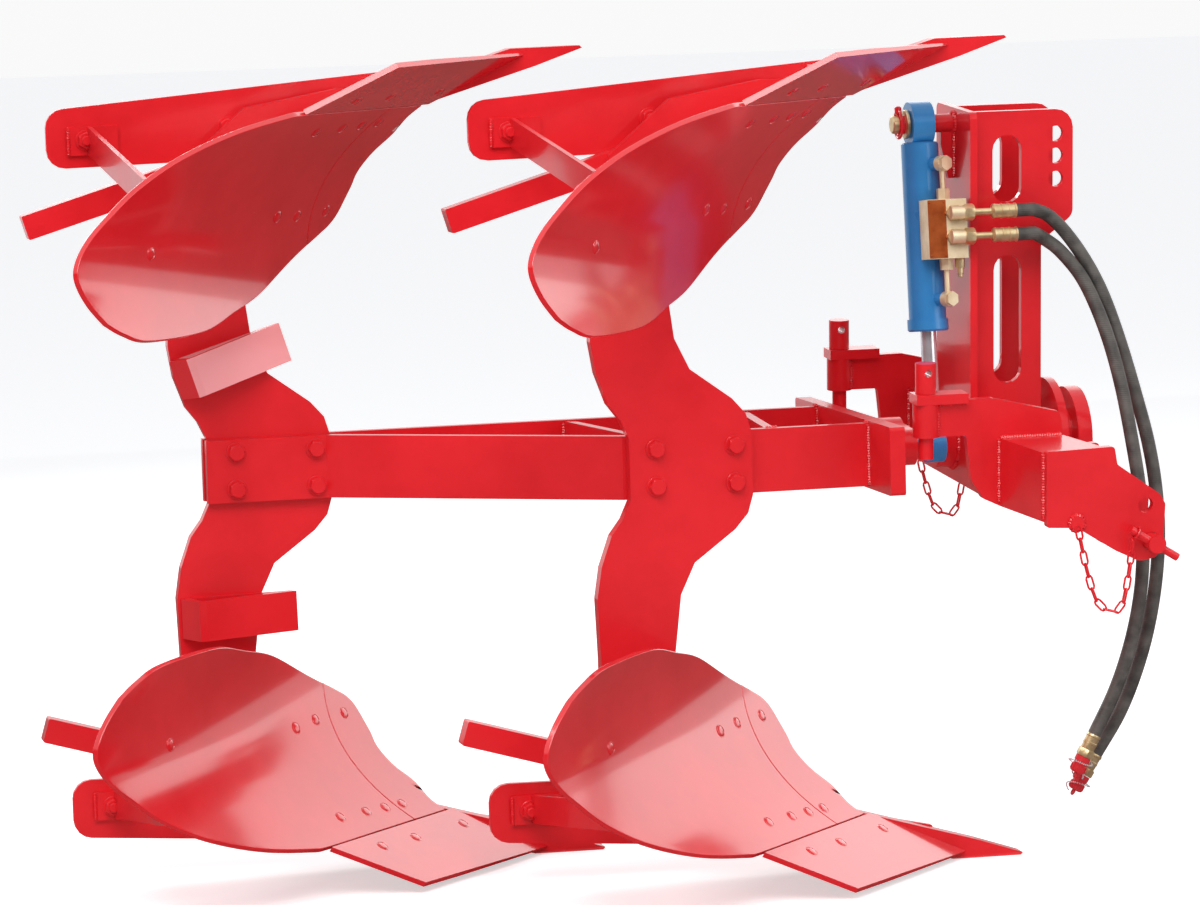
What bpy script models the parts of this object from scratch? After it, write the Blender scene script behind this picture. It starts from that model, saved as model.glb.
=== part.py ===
"""Two-furrow reversible mouldboard plough: metres, +Z up, +X the way it is drawn, -Y the right side.

Everything is set out from the turnover axis, which runs along X, BAR_SOLE above the ground.
The frame with its four bodies turns about that axis, the headstock stays on the tractor,
and the cylinder hangs from the top of the mast.
"""
import math

import bmesh
import bpy
from mathutils import Matrix, Vector

# Placing
ORIGIN_X = 0.0414
ORIGIN_Y = 0.12875
HEADSTOCK_TILT = math.radians(3.9)
SEAT = 0.0003
RUNNING = 0.0004
MOVING_GAP = 0.0055
MERGE = 0.00001

# Plough bodies, set out from the front one
BODY_PITCH = 0.628
BODY_STEP = 0.302
BODY_PLATE = 0.009
JOINT_GAP = 0.001
GUIDE_Y = -0.155
GUIDE = ((0.571, -0.652), (0.328, -0.559), (0.158, -0.428), (0.183, -0.250))
SHARE_LINE = -0.5785
SHARE_SOLE = -0.6565
SHARE_FRONT = (0.545, -0.1845, -0.652)
SHARE_WING = (0.286, -0.444, -0.648)
SHARE_REACH = 0.400
BAR_FAR = -0.149
BAR_WIDTH = 0.035
BAR_HEIGHT = 0.040
BAR_REAR = (-0.272, -0.386)
BAR_BEND = (0.563, -0.635)
BAR_TIP = 0.642
BAR_DROP = 0.031
BAR_SOLE = BAR_BEND[1] - BAR_DROP
LANDSIDE_PLATE = 0.010
FROG_PLATE = 0.012
FROG_SEAT = 0.0009
FROG_REACH = 0.250
STAY_PLATE = 0.008
STAY_HEIGHT = 0.045

# Shanks and beam
SHANK_PLATE = 0.0244
SHANK_NEAR = -0.1837
BEAM_HALF = 0.051
BEAM_PLATE = 0.016
BEAM_FRONT = 0.404
BEAM_REAR = -0.631
BEAM_NEAR = -0.159
BEAM_FAR = 0.159
BEAM_NEAR_REAR = 0.102
CROSS_BAR = 0.016
CROSS_PLATE = 0.025
CROSS_PLATE_HALF = 0.055
CROSS_PLATE_REACH = 0.279
STRAP_HEIGHT = 0.065
STRAP_PLATE = 0.006

# Turnover shaft and crank
SHAFT_RADIUS = 0.030
NECK_RADIUS = 0.021
NECK_LOW = 0.503
HUB_LOW = 0.560
HUB_HIGH = 0.811
HUB_WALL = 0.0146
HUB_DISC = 0.095
HUB_FLANGE = 0.078
CRANK_RADIUS = 0.080
CRANK_PLATE = 0.024
CRANK_BOSS = 0.030

# Mast
MAST_BACK = 0.596
MAST_PLATE = 0.012
MAST_TOP = 0.549
MAST_HALF = 0.092
MAST_GAP = 0.090
MAST_LOW_FRONT = 0.728
MAST_HIGH_FRONT = 0.782
TOP_LINK_HOLE = 0.0128
TOP_LINK_X = 0.753
TOP_LINK_HEIGHTS = (0.432, 0.470, 0.506)

# Headstock beam and its link arms
BOX_BACK = 0.592
BOX_FRONT = 0.697
BOX_LOW = -0.066
BOX_HIGH = 0.050
SIDE_PLATE = 0.016
SIDE_OUTER = 0.256
CHEEK_PLATE = 0.015
CHEEK_OUTER = 0.425
CLEVIS_GAP = 0.062
LINK_HOLE_X = 0.789
LINK_HOLE_Z = -0.104
LINK_PIN_RADIUS = 0.0143
LINK_PIN_OVER = 0.030
HANDLE_RADIUS = 0.0065
HANDLE_HIGH = (-0.042, 0.025)
HANDLE_LOW = (0.036, -0.024)

# Chains that keep the link pins
CHAIN_LINKS = 14
CHAIN_WIRE = 0.0018
CHAIN_HALF_WIDTH = 0.0048
CHAIN_LAP = 0.8
CHAIN_OUT = 0.0095
CHAIN_RING_PLACE = 0.012
STAPLE_RADIUS = 0.011
STAPLE_THICKNESS = 0.005

# Stops
STOP_X = 0.472
STOP_Y = 0.248
STOP_SLEEVE = 0.021
STOP_PIN = 0.012
STOP_HEAD = 0.017
STOP_LOW = 0.015
STOP_SLEEVE_LOW = 0.051
STOP_CAP_LOW = 0.105
STOP_CAP_HIGH = 0.121
STOP_HEAD_HIGH = 0.170
STOP_HOLE = 0.006

# Cylinder, set out from its upper eye along its own axis
PIVOT_HEIGHT = 0.524
PIVOT_RADIUS = 0.015
CYLINDER_X = 0.537
BARREL_RADIUS = 0.0305
BARREL_TOP = -0.030
BARREL_BOTTOM = -0.338
EYE_WIDTH = 0.036
EYE_RADIUS = 0.036
ROD_RADIUS = 0.013
ROD_EYE = 0.027
ROD_EYE_BACK = 0.522
ROD_EYE_FRONT = 0.552
ROD_STUB = 0.508
ROD_INSIDE = 0.120
BORE_TOP = -0.105
BLOCK_BACK = 0.522
BLOCK_FRONT = 0.588
BLOCK_NEAR = -0.076
BLOCK_LOW = -0.222
BLOCK_HIGH = -0.126
PORT_Y = -0.0915
PORT_FRONT = 0.590
PORT_RADIUS = 0.011
PORTS = (-0.149, -0.1875)
BOSSES = (-0.067, -0.287)
BOSS_TURN = math.radians(25)
BOSS_REACH = 0.045
BOSS_INSIDE = 0.025
BANJO_RADIUS = 0.0125
BANJO_WIDTH = 0.012
BANJO_HEAD = 0.0125
BANJO_HEAD_WIDTH = 0.007
PIPE_RADIUS = 0.0045
PIPE_NUT = 0.0110
PIPE_NUT_LENGTH = 0.018

# Hoses
HOSE_RADIUS = 0.011
HOSE_SEAT = 0.0008
HOSE_STRAIGHT = 0.030
FERRULE_RADIUS = 0.0135
FERRULE_LENGTH = 0.075
COUPLER_RADIUS = 0.016
COUPLER_LENGTH = 0.070

# Fineness
ARC = 4
TURN = 24
FINE_TURN = 36


for old in list(bpy.data.objects):
    bpy.data.objects.remove(old, do_unlink=True)

PARTS = bpy.data.collections.new("reversible_plough")
CUTTERS = bpy.data.collections.new("plough_cutters")
bpy.context.scene.collection.children.link(PARTS)
bpy.context.scene.collection.children.link(CUTTERS)


def material(name, colour, roughness, metallic):
    """One Principled material."""
    made = bpy.data.materials.new(name)
    made.use_nodes = True
    shader = made.node_tree.nodes["Principled BSDF"]
    shader.inputs["Base Color"].default_value = (*colour, 1.0)
    shader.inputs["Roughness"].default_value = roughness
    shader.inputs["Metallic"].default_value = metallic
    return made


RED = material("red_paint", (0.78, 0.03, 0.04), 0.32, 0.0)
DARK_RED = material("dark_red_paint", (0.45, 0.02, 0.02), 0.45, 0.0)
BLUE = material("blue_paint", (0.03, 0.23, 0.52), 0.35, 0.0)
STEEL = material("bright_steel", (0.62, 0.62, 0.63), 0.30, 1.0)
ZINC = material("yellow_zinc", (0.74, 0.58, 0.34), 0.35, 1.0)
RUBBER = material("hose_rubber", (0.05, 0.045, 0.04), 0.60, 0.0)

PLANES = {
    "XY": Matrix.Identity(4),
    "XZ": Matrix(((1, 0, 0, 0), (0, 0, -1, 0), (0, 1, 0, 0), (0, 0, 0, 1))),
    "YZ": Matrix(((0, 0, 1, 0), (1, 0, 0, 0), (0, 1, 0, 0), (0, 0, 0, 1))),
}
NORMALS = {"XY": (0, 0, 1), "XZ": (0, -1, 0), "YZ": (1, 0, 0)}


def empty(name, parent=None, place=Matrix.Identity(4)):
    """A reference point that pieces hang from."""
    made = bpy.data.objects.new(name, None)
    made.empty_display_size = 0.1
    PARTS.objects.link(made)
    made.parent = parent
    made.matrix_basis = place
    return made


def add(name, mesh, parent, paint, place=Matrix.Identity(4)):
    """A sub-part in the collection, under its parent."""
    made = bpy.data.objects.new(name, mesh)
    PARTS.objects.link(made)
    made.parent = parent
    made.matrix_basis = place
    if paint and not mesh.materials:
        mesh.materials.append(paint)
    return made


def tidy(mesh):
    """Weld what touches, and face everything out."""
    shape = bmesh.new()
    shape.from_mesh(mesh)
    bmesh.ops.remove_doubles(shape, verts=shape.verts, dist=MERGE)
    bmesh.ops.recalc_face_normals(shape, faces=shape.faces)
    shape.to_mesh(mesh)
    shape.free()


def evaluated(source):
    """The mesh of an object as its modifiers leave it."""
    depsgraph = bpy.context.evaluated_depsgraph_get()
    mesh = bpy.data.meshes.new_from_object(source.evaluated_get(depsgraph))
    tidy(mesh)
    return mesh


def outline(corners):
    """Corner rows (u, v, radius) as a loop of points, with each corner rounded to its radius."""
    points = []
    for index, (u, v, radius) in enumerate(corners):
        here = Vector((u, v))
        before = Vector(corners[index - 1][:2]) - here
        after = Vector(corners[(index + 1) % len(corners)][:2]) - here
        if radius <= 0:
            points.append((u, v))
            continue
        half = before.angle(after) / 2
        reach = min(radius / math.tan(half), 0.499 * before.length, 0.499 * after.length)
        fillet = reach * math.tan(half)
        centre = here + (before.normalized() + after.normalized()).normalized() * fillet / math.sin(half)
        start = here + before.normalized() * reach - centre
        end = here + after.normalized() * reach - centre
        first = math.atan2(start.y, start.x)
        sweep = (math.atan2(end.y, end.x) - first + math.pi) % (2 * math.pi) - math.pi
        for step in range(ARC + 1):
            angle = first + sweep * step / ARC
            points.append((centre.x + fillet * math.cos(angle), centre.y + fillet * math.sin(angle)))
    return points


def ring(u, v, radius, steps=24):
    """A round loop."""
    turns = [2 * math.pi * step / steps for step in range(steps)]
    return [(u + radius * math.cos(turn), v + radius * math.sin(turn)) for turn in turns]


def slot(u_low, u_high, v_low, v_high):
    """A loop with round ends, the long way along v."""
    radius = (u_high - u_low) / 2
    low = [(u_low + radius - radius * math.cos(math.pi * step / 8),
            v_low + radius - radius * math.sin(math.pi * step / 8)) for step in range(9)]
    high = [(u_low + radius + radius * math.cos(math.pi * step / 8),
             v_high - radius + radius * math.sin(math.pi * step / 8)) for step in range(9)]
    return low + high


def plate(name, loops, low, high, plane, parent, paint):
    """A flat piece: its outline and its holes in one plane, from low to high across that plane."""
    curve = bpy.data.curves.new(name + "_outline", "CURVE")
    curve.dimensions = "2D"
    curve.fill_mode = "BOTH"
    curve.extrude = abs(high - low) / 2
    for loop in loops:
        spline = curve.splines.new("POLY")
        spline.points.add(len(loop) - 1)
        for point, (u, v) in zip(spline.points, loop):
            point.co = (u, v, 0, 1)
        spline.use_cyclic_u = True
    drawn = bpy.data.objects.new(name + "_outline", curve)
    PARTS.objects.link(drawn)
    middle = Vector([abs(part) * (low + high) / 2 for part in NORMALS[plane]])
    drawn.matrix_basis = Matrix.Translation(middle) @ PLANES[plane]
    made = add(name, evaluated(drawn), parent, paint, drawn.matrix_basis.copy())
    made.data.name = name
    bpy.data.objects.remove(drawn)
    bpy.data.curves.remove(curve)
    return made


def block(name, low, high, parent, paint):
    """A box between two corners."""
    shape = bmesh.new()
    bmesh.ops.create_cube(shape, size=1.0)
    size = [top - bottom for bottom, top in zip(low, high)]
    bmesh.ops.scale(shape, vec=size, verts=shape.verts)
    mesh = bpy.data.meshes.new(name)
    shape.to_mesh(mesh)
    shape.free()
    middle = [(top + bottom) / 2 for bottom, top in zip(low, high)]
    return add(name, mesh, parent, paint, Matrix.Translation(middle))


def bar(name, start, end, radius, parent, paint, steps=TURN):
    """A round bar from start to end."""
    start = Vector(start)
    end = Vector(end)
    shape = bmesh.new()
    bmesh.ops.create_cone(shape, cap_ends=True, segments=steps, radius1=radius, radius2=radius,
                          depth=(end - start).length)
    mesh = bpy.data.meshes.new(name)
    shape.to_mesh(mesh)
    shape.free()
    mesh.shade_smooth()
    mesh.set_sharp_from_angle(angle=math.radians(40))
    turn = (end - start).to_track_quat("Z", "Y").to_matrix().to_4x4()
    return add(name, mesh, parent, paint, Matrix.Translation((start + end) / 2) @ turn)


def turned(name, profile, place, parent, paint, closed=False, steps=TURN):
    """A turned piece: (radius, height) rows round its section, spun about local Z."""
    mesh = bpy.data.meshes.new(name)
    edges = [(index, index + 1) for index in range(len(profile) - 1)]
    if closed:
        edges.append((len(profile) - 1, 0))
    mesh.from_pydata([(radius, 0, height) for radius, height in profile], edges, [])
    drawn = add(name + "_profile", mesh, None, None)
    spin = drawn.modifiers.new("Spin", "SCREW")
    spin.steps = steps
    spin.render_steps = steps
    spin.use_merge_vertices = True
    spin.merge_threshold = MERGE
    spun = evaluated(drawn)
    spun.name = name
    spun.shade_smooth()
    spun.set_sharp_from_angle(angle=math.radians(40))
    bpy.data.objects.remove(drawn)
    bpy.data.meshes.remove(mesh)
    return add(name, spun, parent, paint, place)


def combine(target, tools, operation):
    """A Boolean with each tool, which moves to the cutters' collection."""
    for tool in tools:
        PARTS.objects.unlink(tool)
        CUTTERS.objects.link(tool)
        tool.hide_render = True
        tool.display_type = "WIRE"
        change = target.modifiers.new(tool.name, "BOOLEAN")
        change.operation = operation
        change.solver = "EXACT"
        change.object = tool
    return target


def fuse(target, *tools):
    return combine(target, tools, "UNION")


def cut(target, *tools):
    return combine(target, tools, "DIFFERENCE")


def bake(target):
    """Fix the modifiers into the mesh, for a shape that is then copied or mirrored."""
    tools = [change.object for change in target.modifiers if change.type == "BOOLEAN"]
    fixed = evaluated(target)
    fixed.name = target.name
    target.modifiers.clear()
    target.data = fixed
    for tool in tools:
        bpy.data.objects.remove(tool)
    return target


def trim(target, point, normal):
    """Cut a piece off along a plane, drop what lies on the normal's side, and close the cut."""
    inverse = target.matrix_basis.inverted()
    shape = bmesh.new()
    shape.from_mesh(target.data)
    result = bmesh.ops.bisect_plane(shape, geom=shape.verts[:] + shape.edges[:] + shape.faces[:],
                                    plane_co=inverse @ Vector(point),
                                    plane_no=inverse.to_3x3() @ Vector(normal), clear_outer=True)
    rim = [item for item in result["geom_cut"] if isinstance(item, bmesh.types.BMEdge)]
    bmesh.ops.holes_fill(shape, edges=rim)
    bmesh.ops.recalc_face_normals(shape, faces=shape.faces)
    shape.to_mesh(target.data)
    shape.free()
    return target


def along(points, steps):
    """Points spaced evenly along a smooth curve through the given ones."""
    ends = [2 * points[0] - points[1]] + list(points) + [2 * points[-1] - points[-2]]
    fine = []
    for a, b, c, d in zip(ends, ends[1:], ends[2:], ends[3:]):
        for step in range(12):
            t = step / 12
            fine.append(0.5 * (2 * b + (c - a) * t + (2 * a - 5 * b + 4 * c - d) * t * t
                               + (3 * b - a - 3 * c + d) * t ** 3))
    fine.append(points[-1])
    lengths = [0.0]
    for first, second in zip(fine, fine[1:]):
        lengths.append(lengths[-1] + (second - first).length)
    result = []
    index = 0
    for step in range(steps + 1):
        want = lengths[-1] * step / steps
        while index < len(lengths) - 2 and lengths[index + 1] < want:
            index += 1
        share = (want - lengths[index]) / (lengths[index + 1] - lengths[index])
        result.append(fine[index].lerp(fine[index + 1], share))
    return result


# The working surface: level lines that fan out as they climb a guide curve on the land side.

ANGLES = ((-0.652, 45.5), (-0.555, 47.0), (-0.400, 50.0), (-0.250, 54.0))


def guide_x(z):
    """Where the guide curve lies at a height."""
    low = -0.15
    high = 1.15
    for _ in range(40):
        t = (low + high) / 2
        s = 1 - t
        height = (s ** 3 * GUIDE[0][1] + 3 * s * s * t * GUIDE[1][1]
                  + 3 * s * t * t * GUIDE[2][1] + t ** 3 * GUIDE[3][1])
        if height < z:
            low = t
        else:
            high = t
    return (s ** 3 * GUIDE[0][0] + 3 * s * s * t * GUIDE[1][0]
            + 3 * s * t * t * GUIDE[2][0] + t ** 3 * GUIDE[3][0])


def line_angle(z):
    """The angle of a level line to the way of travel."""
    if z <= ANGLES[0][0]:
        return math.radians(ANGLES[0][1])
    for (z_low, low), (z_high, high) in zip(ANGLES, ANGLES[1:]):
        if z <= z_high:
            return math.radians(low + (high - low) * (z - z_low) / (z_high - z_low))
    return math.radians(ANGLES[-1][1])


def surface(s, z):
    """The point of the working surface at a distance s along its level line."""
    angle = line_angle(z)
    return Vector((guide_x(z) - s * math.cos(angle), GUIDE_Y - s * math.sin(angle), z))


def surface_normal(s, z):
    """The way the working surface faces."""
    sideways = surface(s + 0.002, z) - surface(s - 0.002, z)
    upwards = surface(s, z + 0.002) - surface(s, z - 0.002)
    return upwards.cross(sideways).normalized()


def behind(s, z, depth):
    """The point level with the surface's one and a depth behind the surface."""
    normal = surface_normal(s, z)
    level = Vector((normal.x, normal.y, 0))
    return surface(s, z) - level * depth / level.length_squared


def patch(name, left, right, bottom, top, counts, point_of, parent, paint):
    """A grid between four sides, laid on a surface; columns run left to right, rows upwards."""
    columns, rows = counts
    side_left = along([Vector(row) for row in left], rows)
    side_right = along([Vector(row) for row in right], rows)
    side_bottom = along([Vector(row) for row in bottom], columns)
    side_top = along([Vector(row) for row in top], columns)
    shape = bmesh.new()
    grid = []
    for i in range(columns + 1):
        u = i / columns
        line = []
        for j in range(rows + 1):
            v = j / rows
            flat = ((1 - v) * side_bottom[i] + v * side_top[i]
                    + (1 - u) * side_left[j] + u * side_right[j]
                    - (1 - u) * (1 - v) * side_bottom[0] - u * (1 - v) * side_bottom[-1]
                    - (1 - u) * v * side_top[0] - u * v * side_top[-1])
            line.append(shape.verts.new(point_of(flat.x, flat.y)))
        grid.append(line)
    for i in range(columns):
        for j in range(rows):
            shape.faces.new((grid[i][j], grid[i + 1][j], grid[i + 1][j + 1], grid[i][j + 1]))
    mesh = bpy.data.meshes.new(name)
    shape.to_mesh(mesh)
    shape.free()
    mesh.shade_smooth()
    return add(name, mesh, parent, paint)


def thicken(target, depth, thickness):
    """Give an open surface its thickness, starting at a depth behind it."""
    shell = target.modifiers.new("Thickness", "SOLIDIFY")
    shell.thickness = thickness
    shell.offset = (2 * depth + thickness) / thickness
    shell.use_even_offset = True
    fixed = evaluated(target)
    fixed.name = target.name
    target.modifiers.clear()
    target.data = fixed
    target.data.set_sharp_from_angle(angle=math.radians(40))
    return target


def side_joint(shift):
    """The joint between shin and mouldboard, from the share up, moved sideways."""
    rows = ((0.150, -0.5775), (0.075, -0.450), (0.052, -0.410), (0.022, -0.358))
    return [(s + shift, z) for s, z in rows]


ORIGIN = Matrix.Translation((ORIGIN_X, ORIGIN_Y, -BAR_SOLE))
plough = empty("plough", None, ORIGIN)
frame = empty("turning_frame", plough)
headstock = empty("headstock_axes", plough, Matrix.Rotation(HEADSTOCK_TILT, 4, "X"))


# Front lower body

board_left = side_joint(JOINT_GAP / 2)
board = patch(
    "mouldboard_lower_front",
    board_left,
    ((0.680, -0.443), (0.706, -0.412), (0.725, -0.378), (0.723, -0.353), (0.696, -0.317), (0.661, -0.285)),
    (board_left[0], (0.250, -0.5775), (0.400, -0.5775), (0.440, -0.5745), (0.528, -0.556), (0.601, -0.524),
     (0.647, -0.486), (0.680, -0.443)),
    (board_left[-1], (0.156, -0.295), (0.263, -0.269), (0.376, -0.249), (0.552, -0.250),
     (0.619, -0.266), (0.661, -0.285)),
    (16, 10), surface, frame, RED)
thicken(board, 0, BODY_PLATE)

shin_right = side_joint(-JOINT_GAP / 2)
shin = patch(
    "shin_lower_front",
    ((0.055, -0.5775), (0.044, -0.560), (0.014, -0.532), (0.008, -0.503), (-0.006, -0.472),
     (-0.027, -0.446), (-0.039, -0.410), (-0.030, -0.388), (-0.002, -0.370)),
    shin_right,
    ((0.055, -0.5775), (0.100, -0.5775), shin_right[0]),
    ((-0.002, -0.370), shin_right[-1]),
    (3, 10), surface, frame, RED)
thicken(shin, 0, BODY_PLATE)

# The share is flat: its plane holds the joint line and the middle of the cutting edge.
share_line = SHARE_LINE - JOINT_GAP / 2
share_inner = surface(0.030, share_line)
share_outer = surface(SHARE_REACH, share_line)
share_u = (share_inner - share_outer).normalized()
share_mid = (Vector(SHARE_FRONT) + Vector(SHARE_WING)) / 2
share_down = share_mid - share_outer
share_v = -(share_down - share_down.dot(share_u) * share_u).normalized()
share_n = share_u.cross(share_v)
if share_n.z < 0:
    share_n = -share_n
SHARE_FRAME = Matrix((
    (share_u.x, share_v.x, share_n.x, share_outer.x),
    (share_u.y, share_v.y, share_n.y, share_outer.y),
    (share_u.z, share_v.z, share_n.z, share_outer.z),
    (0, 0, 0, 1)))


def on_share(point):
    """A point's place in the share's own plane."""
    away = Vector(point) - share_outer
    return away.dot(share_u), away.dot(share_v)


front_low = on_share(SHARE_FRONT)
wing_low = on_share(SHARE_WING)
over = 0.020
edge = ((front_low[0] - wing_low[0]), (front_low[1] - wing_low[1]))
share = plate("share_lower_front", [[
    (0, 0),
    wing_low,
    (front_low[0] + over, front_low[1] + over * edge[1] / edge[0]),
    ((share_inner - share_outer).length + over, 0),
]], 0, BODY_PLATE, "XY", frame, RED)
share.matrix_basis = SHARE_FRAME @ Matrix.Translation((0, 0, -BODY_PLATE / 2))
trim(share, (0, BAR_FAR - BAR_WIDTH - SEAT, 0), (0, 1, 0))
trim(share, (0, 0, SHARE_SOLE), (0, 0, -1))

# The bar point slides in under the shank, its top edge the straight line that the shank sits on.
bar_slope = (BAR_BEND[1] - BAR_REAR[1]) / (BAR_BEND[0] - BAR_REAR[0])
bar_cos = 1 / math.sqrt(1 + bar_slope * bar_slope)
bar_drop = BAR_HEIGHT / bar_cos
bar_flat = BAR_SOLE + 0.0015


def bar_top(x):
    """The height of the bar point's upper edge."""
    return BAR_REAR[1] + bar_slope * (x - BAR_REAR[0])


bar_heel = BAR_REAR[0] + (bar_flat + bar_drop - BAR_REAR[1]) / bar_slope
point_bar = plate("bar_point_lower_front", [outline((
    (BAR_REAR[0], BAR_REAR[1], 0.003),
    (BAR_REAR[0] + bar_slope * BAR_HEIGHT * bar_cos, BAR_REAR[1] - BAR_HEIGHT * bar_cos, 0.003),
    (bar_heel, bar_flat, 0),
    (BAR_TIP - 0.004, BAR_SOLE, 0),
    (BAR_TIP, BAR_SOLE + 0.004, 0),
    (BAR_BEND[0], BAR_BEND[1], 0),
))], BAR_FAR - BAR_WIDTH, BAR_FAR, "XZ", frame, RED)

# The landside carries the stay to the mouldboard's wing.
land_near = BAR_FAR + SEAT
land_far = land_near + LANDSIDE_PLATE
landside = plate("landside_lower_front", [outline((
    (-0.235, -0.590, 0.030),
    (-0.235, -0.496, 0.030),
    (0.000, -0.500, 0.010),
    (0.500, -0.613, 0.004),
    (0.500, -0.648, 0.004),
))], land_near, land_far, "XZ", frame, RED)
stay_s = 0.600
stay_z = -0.470
stay_depth = BODY_PLATE + FROG_SEAT
stay_end = surface(stay_s, stay_z) - surface_normal(stay_s, stay_z) * (stay_depth + STAY_PLATE / 2)
stay_start = Vector((-0.165, land_near - STAY_PLATE / 2, -0.540))
foot = block("stay_foot", (-0.200, land_near - STAY_PLATE, -0.563), (-0.120, land_near + 0.003, -0.517),
             frame, RED)
stay_way = stay_end - stay_start
stay = block("stay_strut", (-stay_way.length / 2, -STAY_PLATE / 2, -STAY_HEIGHT / 2),
             (stay_way.length / 2 + STAY_HEIGHT, STAY_PLATE / 2, STAY_HEIGHT / 2), frame, RED)
stay_x = stay_way.normalized()
stay_y = Vector((0, 0, 1)).cross(stay_x).normalized()
stay_up = stay_x.cross(stay_y)
stay.matrix_basis = Matrix.Translation((stay_start + stay_end) / 2) @ Matrix((
    (stay_x.x, stay_y.x, stay_up.x, 0), (stay_x.y, stay_y.y, stay_up.y, 0),
    (stay_x.z, stay_y.z, stay_up.z, 0), (0, 0, 0, 1))) @ Matrix.Translation((STAY_HEIGHT / 2, 0, 0))
trim(stay, stay_end, surface_normal(stay_s, stay_z))
pad = patch("stay_pad", ((0.560, -0.492), (0.560, -0.448)), ((0.640, -0.470), (0.640, -0.426)),
            ((0.560, -0.492), (0.640, -0.470)), ((0.560, -0.448), (0.640, -0.426)), (4, 3), surface, frame,
            RED)
thicken(pad, stay_depth, STAY_PLATE)
bake(fuse(landside, foot, stay, pad))


# The frog joins shank, bar, share and mouldboard from behind.
def backing(s, z):
    """The face of the soil plates: the share's plane below its joint, the working surface above."""
    place = surface(s, z)
    if z >= share_line:
        return place
    place = surface(s, share_line)
    down = -share_v * (share_line - z) / max(0.2, abs(share_v.z))
    return place + down


seat = patch("frog_lower_front",
             ((0.022, -0.618), (0.022, share_line), (0.022, -0.410)),
             ((FROG_REACH + 0.040, -0.618), (FROG_REACH + 0.040, share_line), (FROG_REACH, -0.410)),
             ((0.022, -0.618), (FROG_REACH + 0.040, -0.618)),
             ((0.022, -0.410), (FROG_REACH, -0.410)), (6, 12), backing, frame, RED)
thicken(seat, BODY_PLATE + FROG_SEAT, FROG_PLATE)
frog_far = BAR_FAR - BAR_WIDTH - SEAT
frog_near = frog_far - FROG_PLATE
trim(seat, (0, (frog_far + frog_near) / 2, 0), (0, 1, 0))


def frog_front(z):
    """How far forward the frog's side plate reaches, inside the seat's thickness."""
    s = (GUIDE_Y - frog_near) / math.sin(line_angle(z))
    place = backing(s, z)
    normal = surface_normal(s, max(z, share_line))
    return place.x - (BODY_PLATE + FROG_SEAT + FROG_PLATE / 2) / normal.x


frog_side = plate("frog_side", [
    [(-0.040, -0.315), (-0.055, -0.400), (-0.020, -0.500), (0.080, -0.585), (0.230, -0.610)]
    + [(frog_front(z), z) for z in (-0.606, -0.590, -0.572, -0.540, -0.500, -0.460, -0.430)]
    + [(0.100, -0.380), (0.066, -0.315)]], frog_near, frog_far, "XZ", frame, RED)
gussets = []
for index, z in enumerate((-0.445, -0.520)):
    inner = behind(0.080, z, BODY_PLATE + FROG_SEAT + 0.55 * FROG_PLATE)
    outer = behind(0.215, z, BODY_PLATE + FROG_SEAT + 0.55 * FROG_PLATE)
    gussets.append(plate("frog_gusset_%d" % index, [[
        (inner.x - 0.170, frog_near + 0.005), (outer.x, outer.y), (inner.x, inner.y),
        (inner.x, frog_near + 0.005)]], z - 0.005, z + 0.005, "XY", frame, RED))
frog = bake(fuse(seat, frog_side, *gussets))


# The rear body stands behind and to the land side; the upper two are mirror images of the lower two.
def mirrored(mesh, name):
    """The mesh on the other side of the turnover axis."""
    shape = bmesh.new()
    shape.from_mesh(mesh)
    bmesh.ops.transform(shape, matrix=Matrix.Diagonal((1, 1, -1, 1)), verts=shape.verts)
    bmesh.ops.reverse_faces(shape, faces=shape.faces)
    made = bpy.data.meshes.new(name)
    shape.to_mesh(made)
    shape.free()
    made.materials.append(mesh.materials[0])
    return made


rear_place = Matrix.Translation((-BODY_PITCH, BODY_STEP, 0))
for piece in (board, shin, share, point_bar, landside, frog):
    stem = piece.name.replace("_lower_front", "")
    piece.data.transform(piece.matrix_basis)
    piece.matrix_basis = Matrix.Identity(4)
    add(stem + "_lower_rear", piece.data, frame, None, rear_place)
    turned_over = mirrored(piece.data, stem + "_upper")
    add(stem + "_upper_front", turned_over, frame, None)
    add(stem + "_upper_rear", turned_over, frame, None, rear_place)


# Shanks: one plate each, from the upper body to the lower one.
SHANK_EDGE = (
    # height, rear, front
    (0.050, 0.002, 0.203),
    (0.080, -0.012, 0.194),
    (0.105, -0.031, 0.172),
    (0.155, -0.049, 0.104),
    (0.205, -0.057, 0.080),
    (0.300, -0.054, 0.068),
)
shank_low = SHANK_EDGE[-1]
rear_side = [(rear, -height) for height, rear, front in SHANK_EDGE]
front_side = [(front, -height) for height, rear, front in SHANK_EDGE]
rear_end = (shank_low[1], bar_top(shank_low[1]) + SEAT)
front_end = (shank_low[2], bar_top(shank_low[2]) + SEAT)
lower_rear = rear_side + [rear_end]
lower_front = front_side + [front_end]
shank_loop = (lower_rear + lower_front[::-1]
              + [(x, -z) for x, z in lower_front] + [(x, -z) for x, z in lower_rear[::-1]])
shank_front = plate("shank_front", [shank_loop], SHANK_NEAR, SHANK_NEAR + SHANK_PLATE, "XZ", frame, RED)
shank_rear = add("shank_rear", shank_front.data, frame, None, rear_place @ shank_front.matrix_basis)


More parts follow.
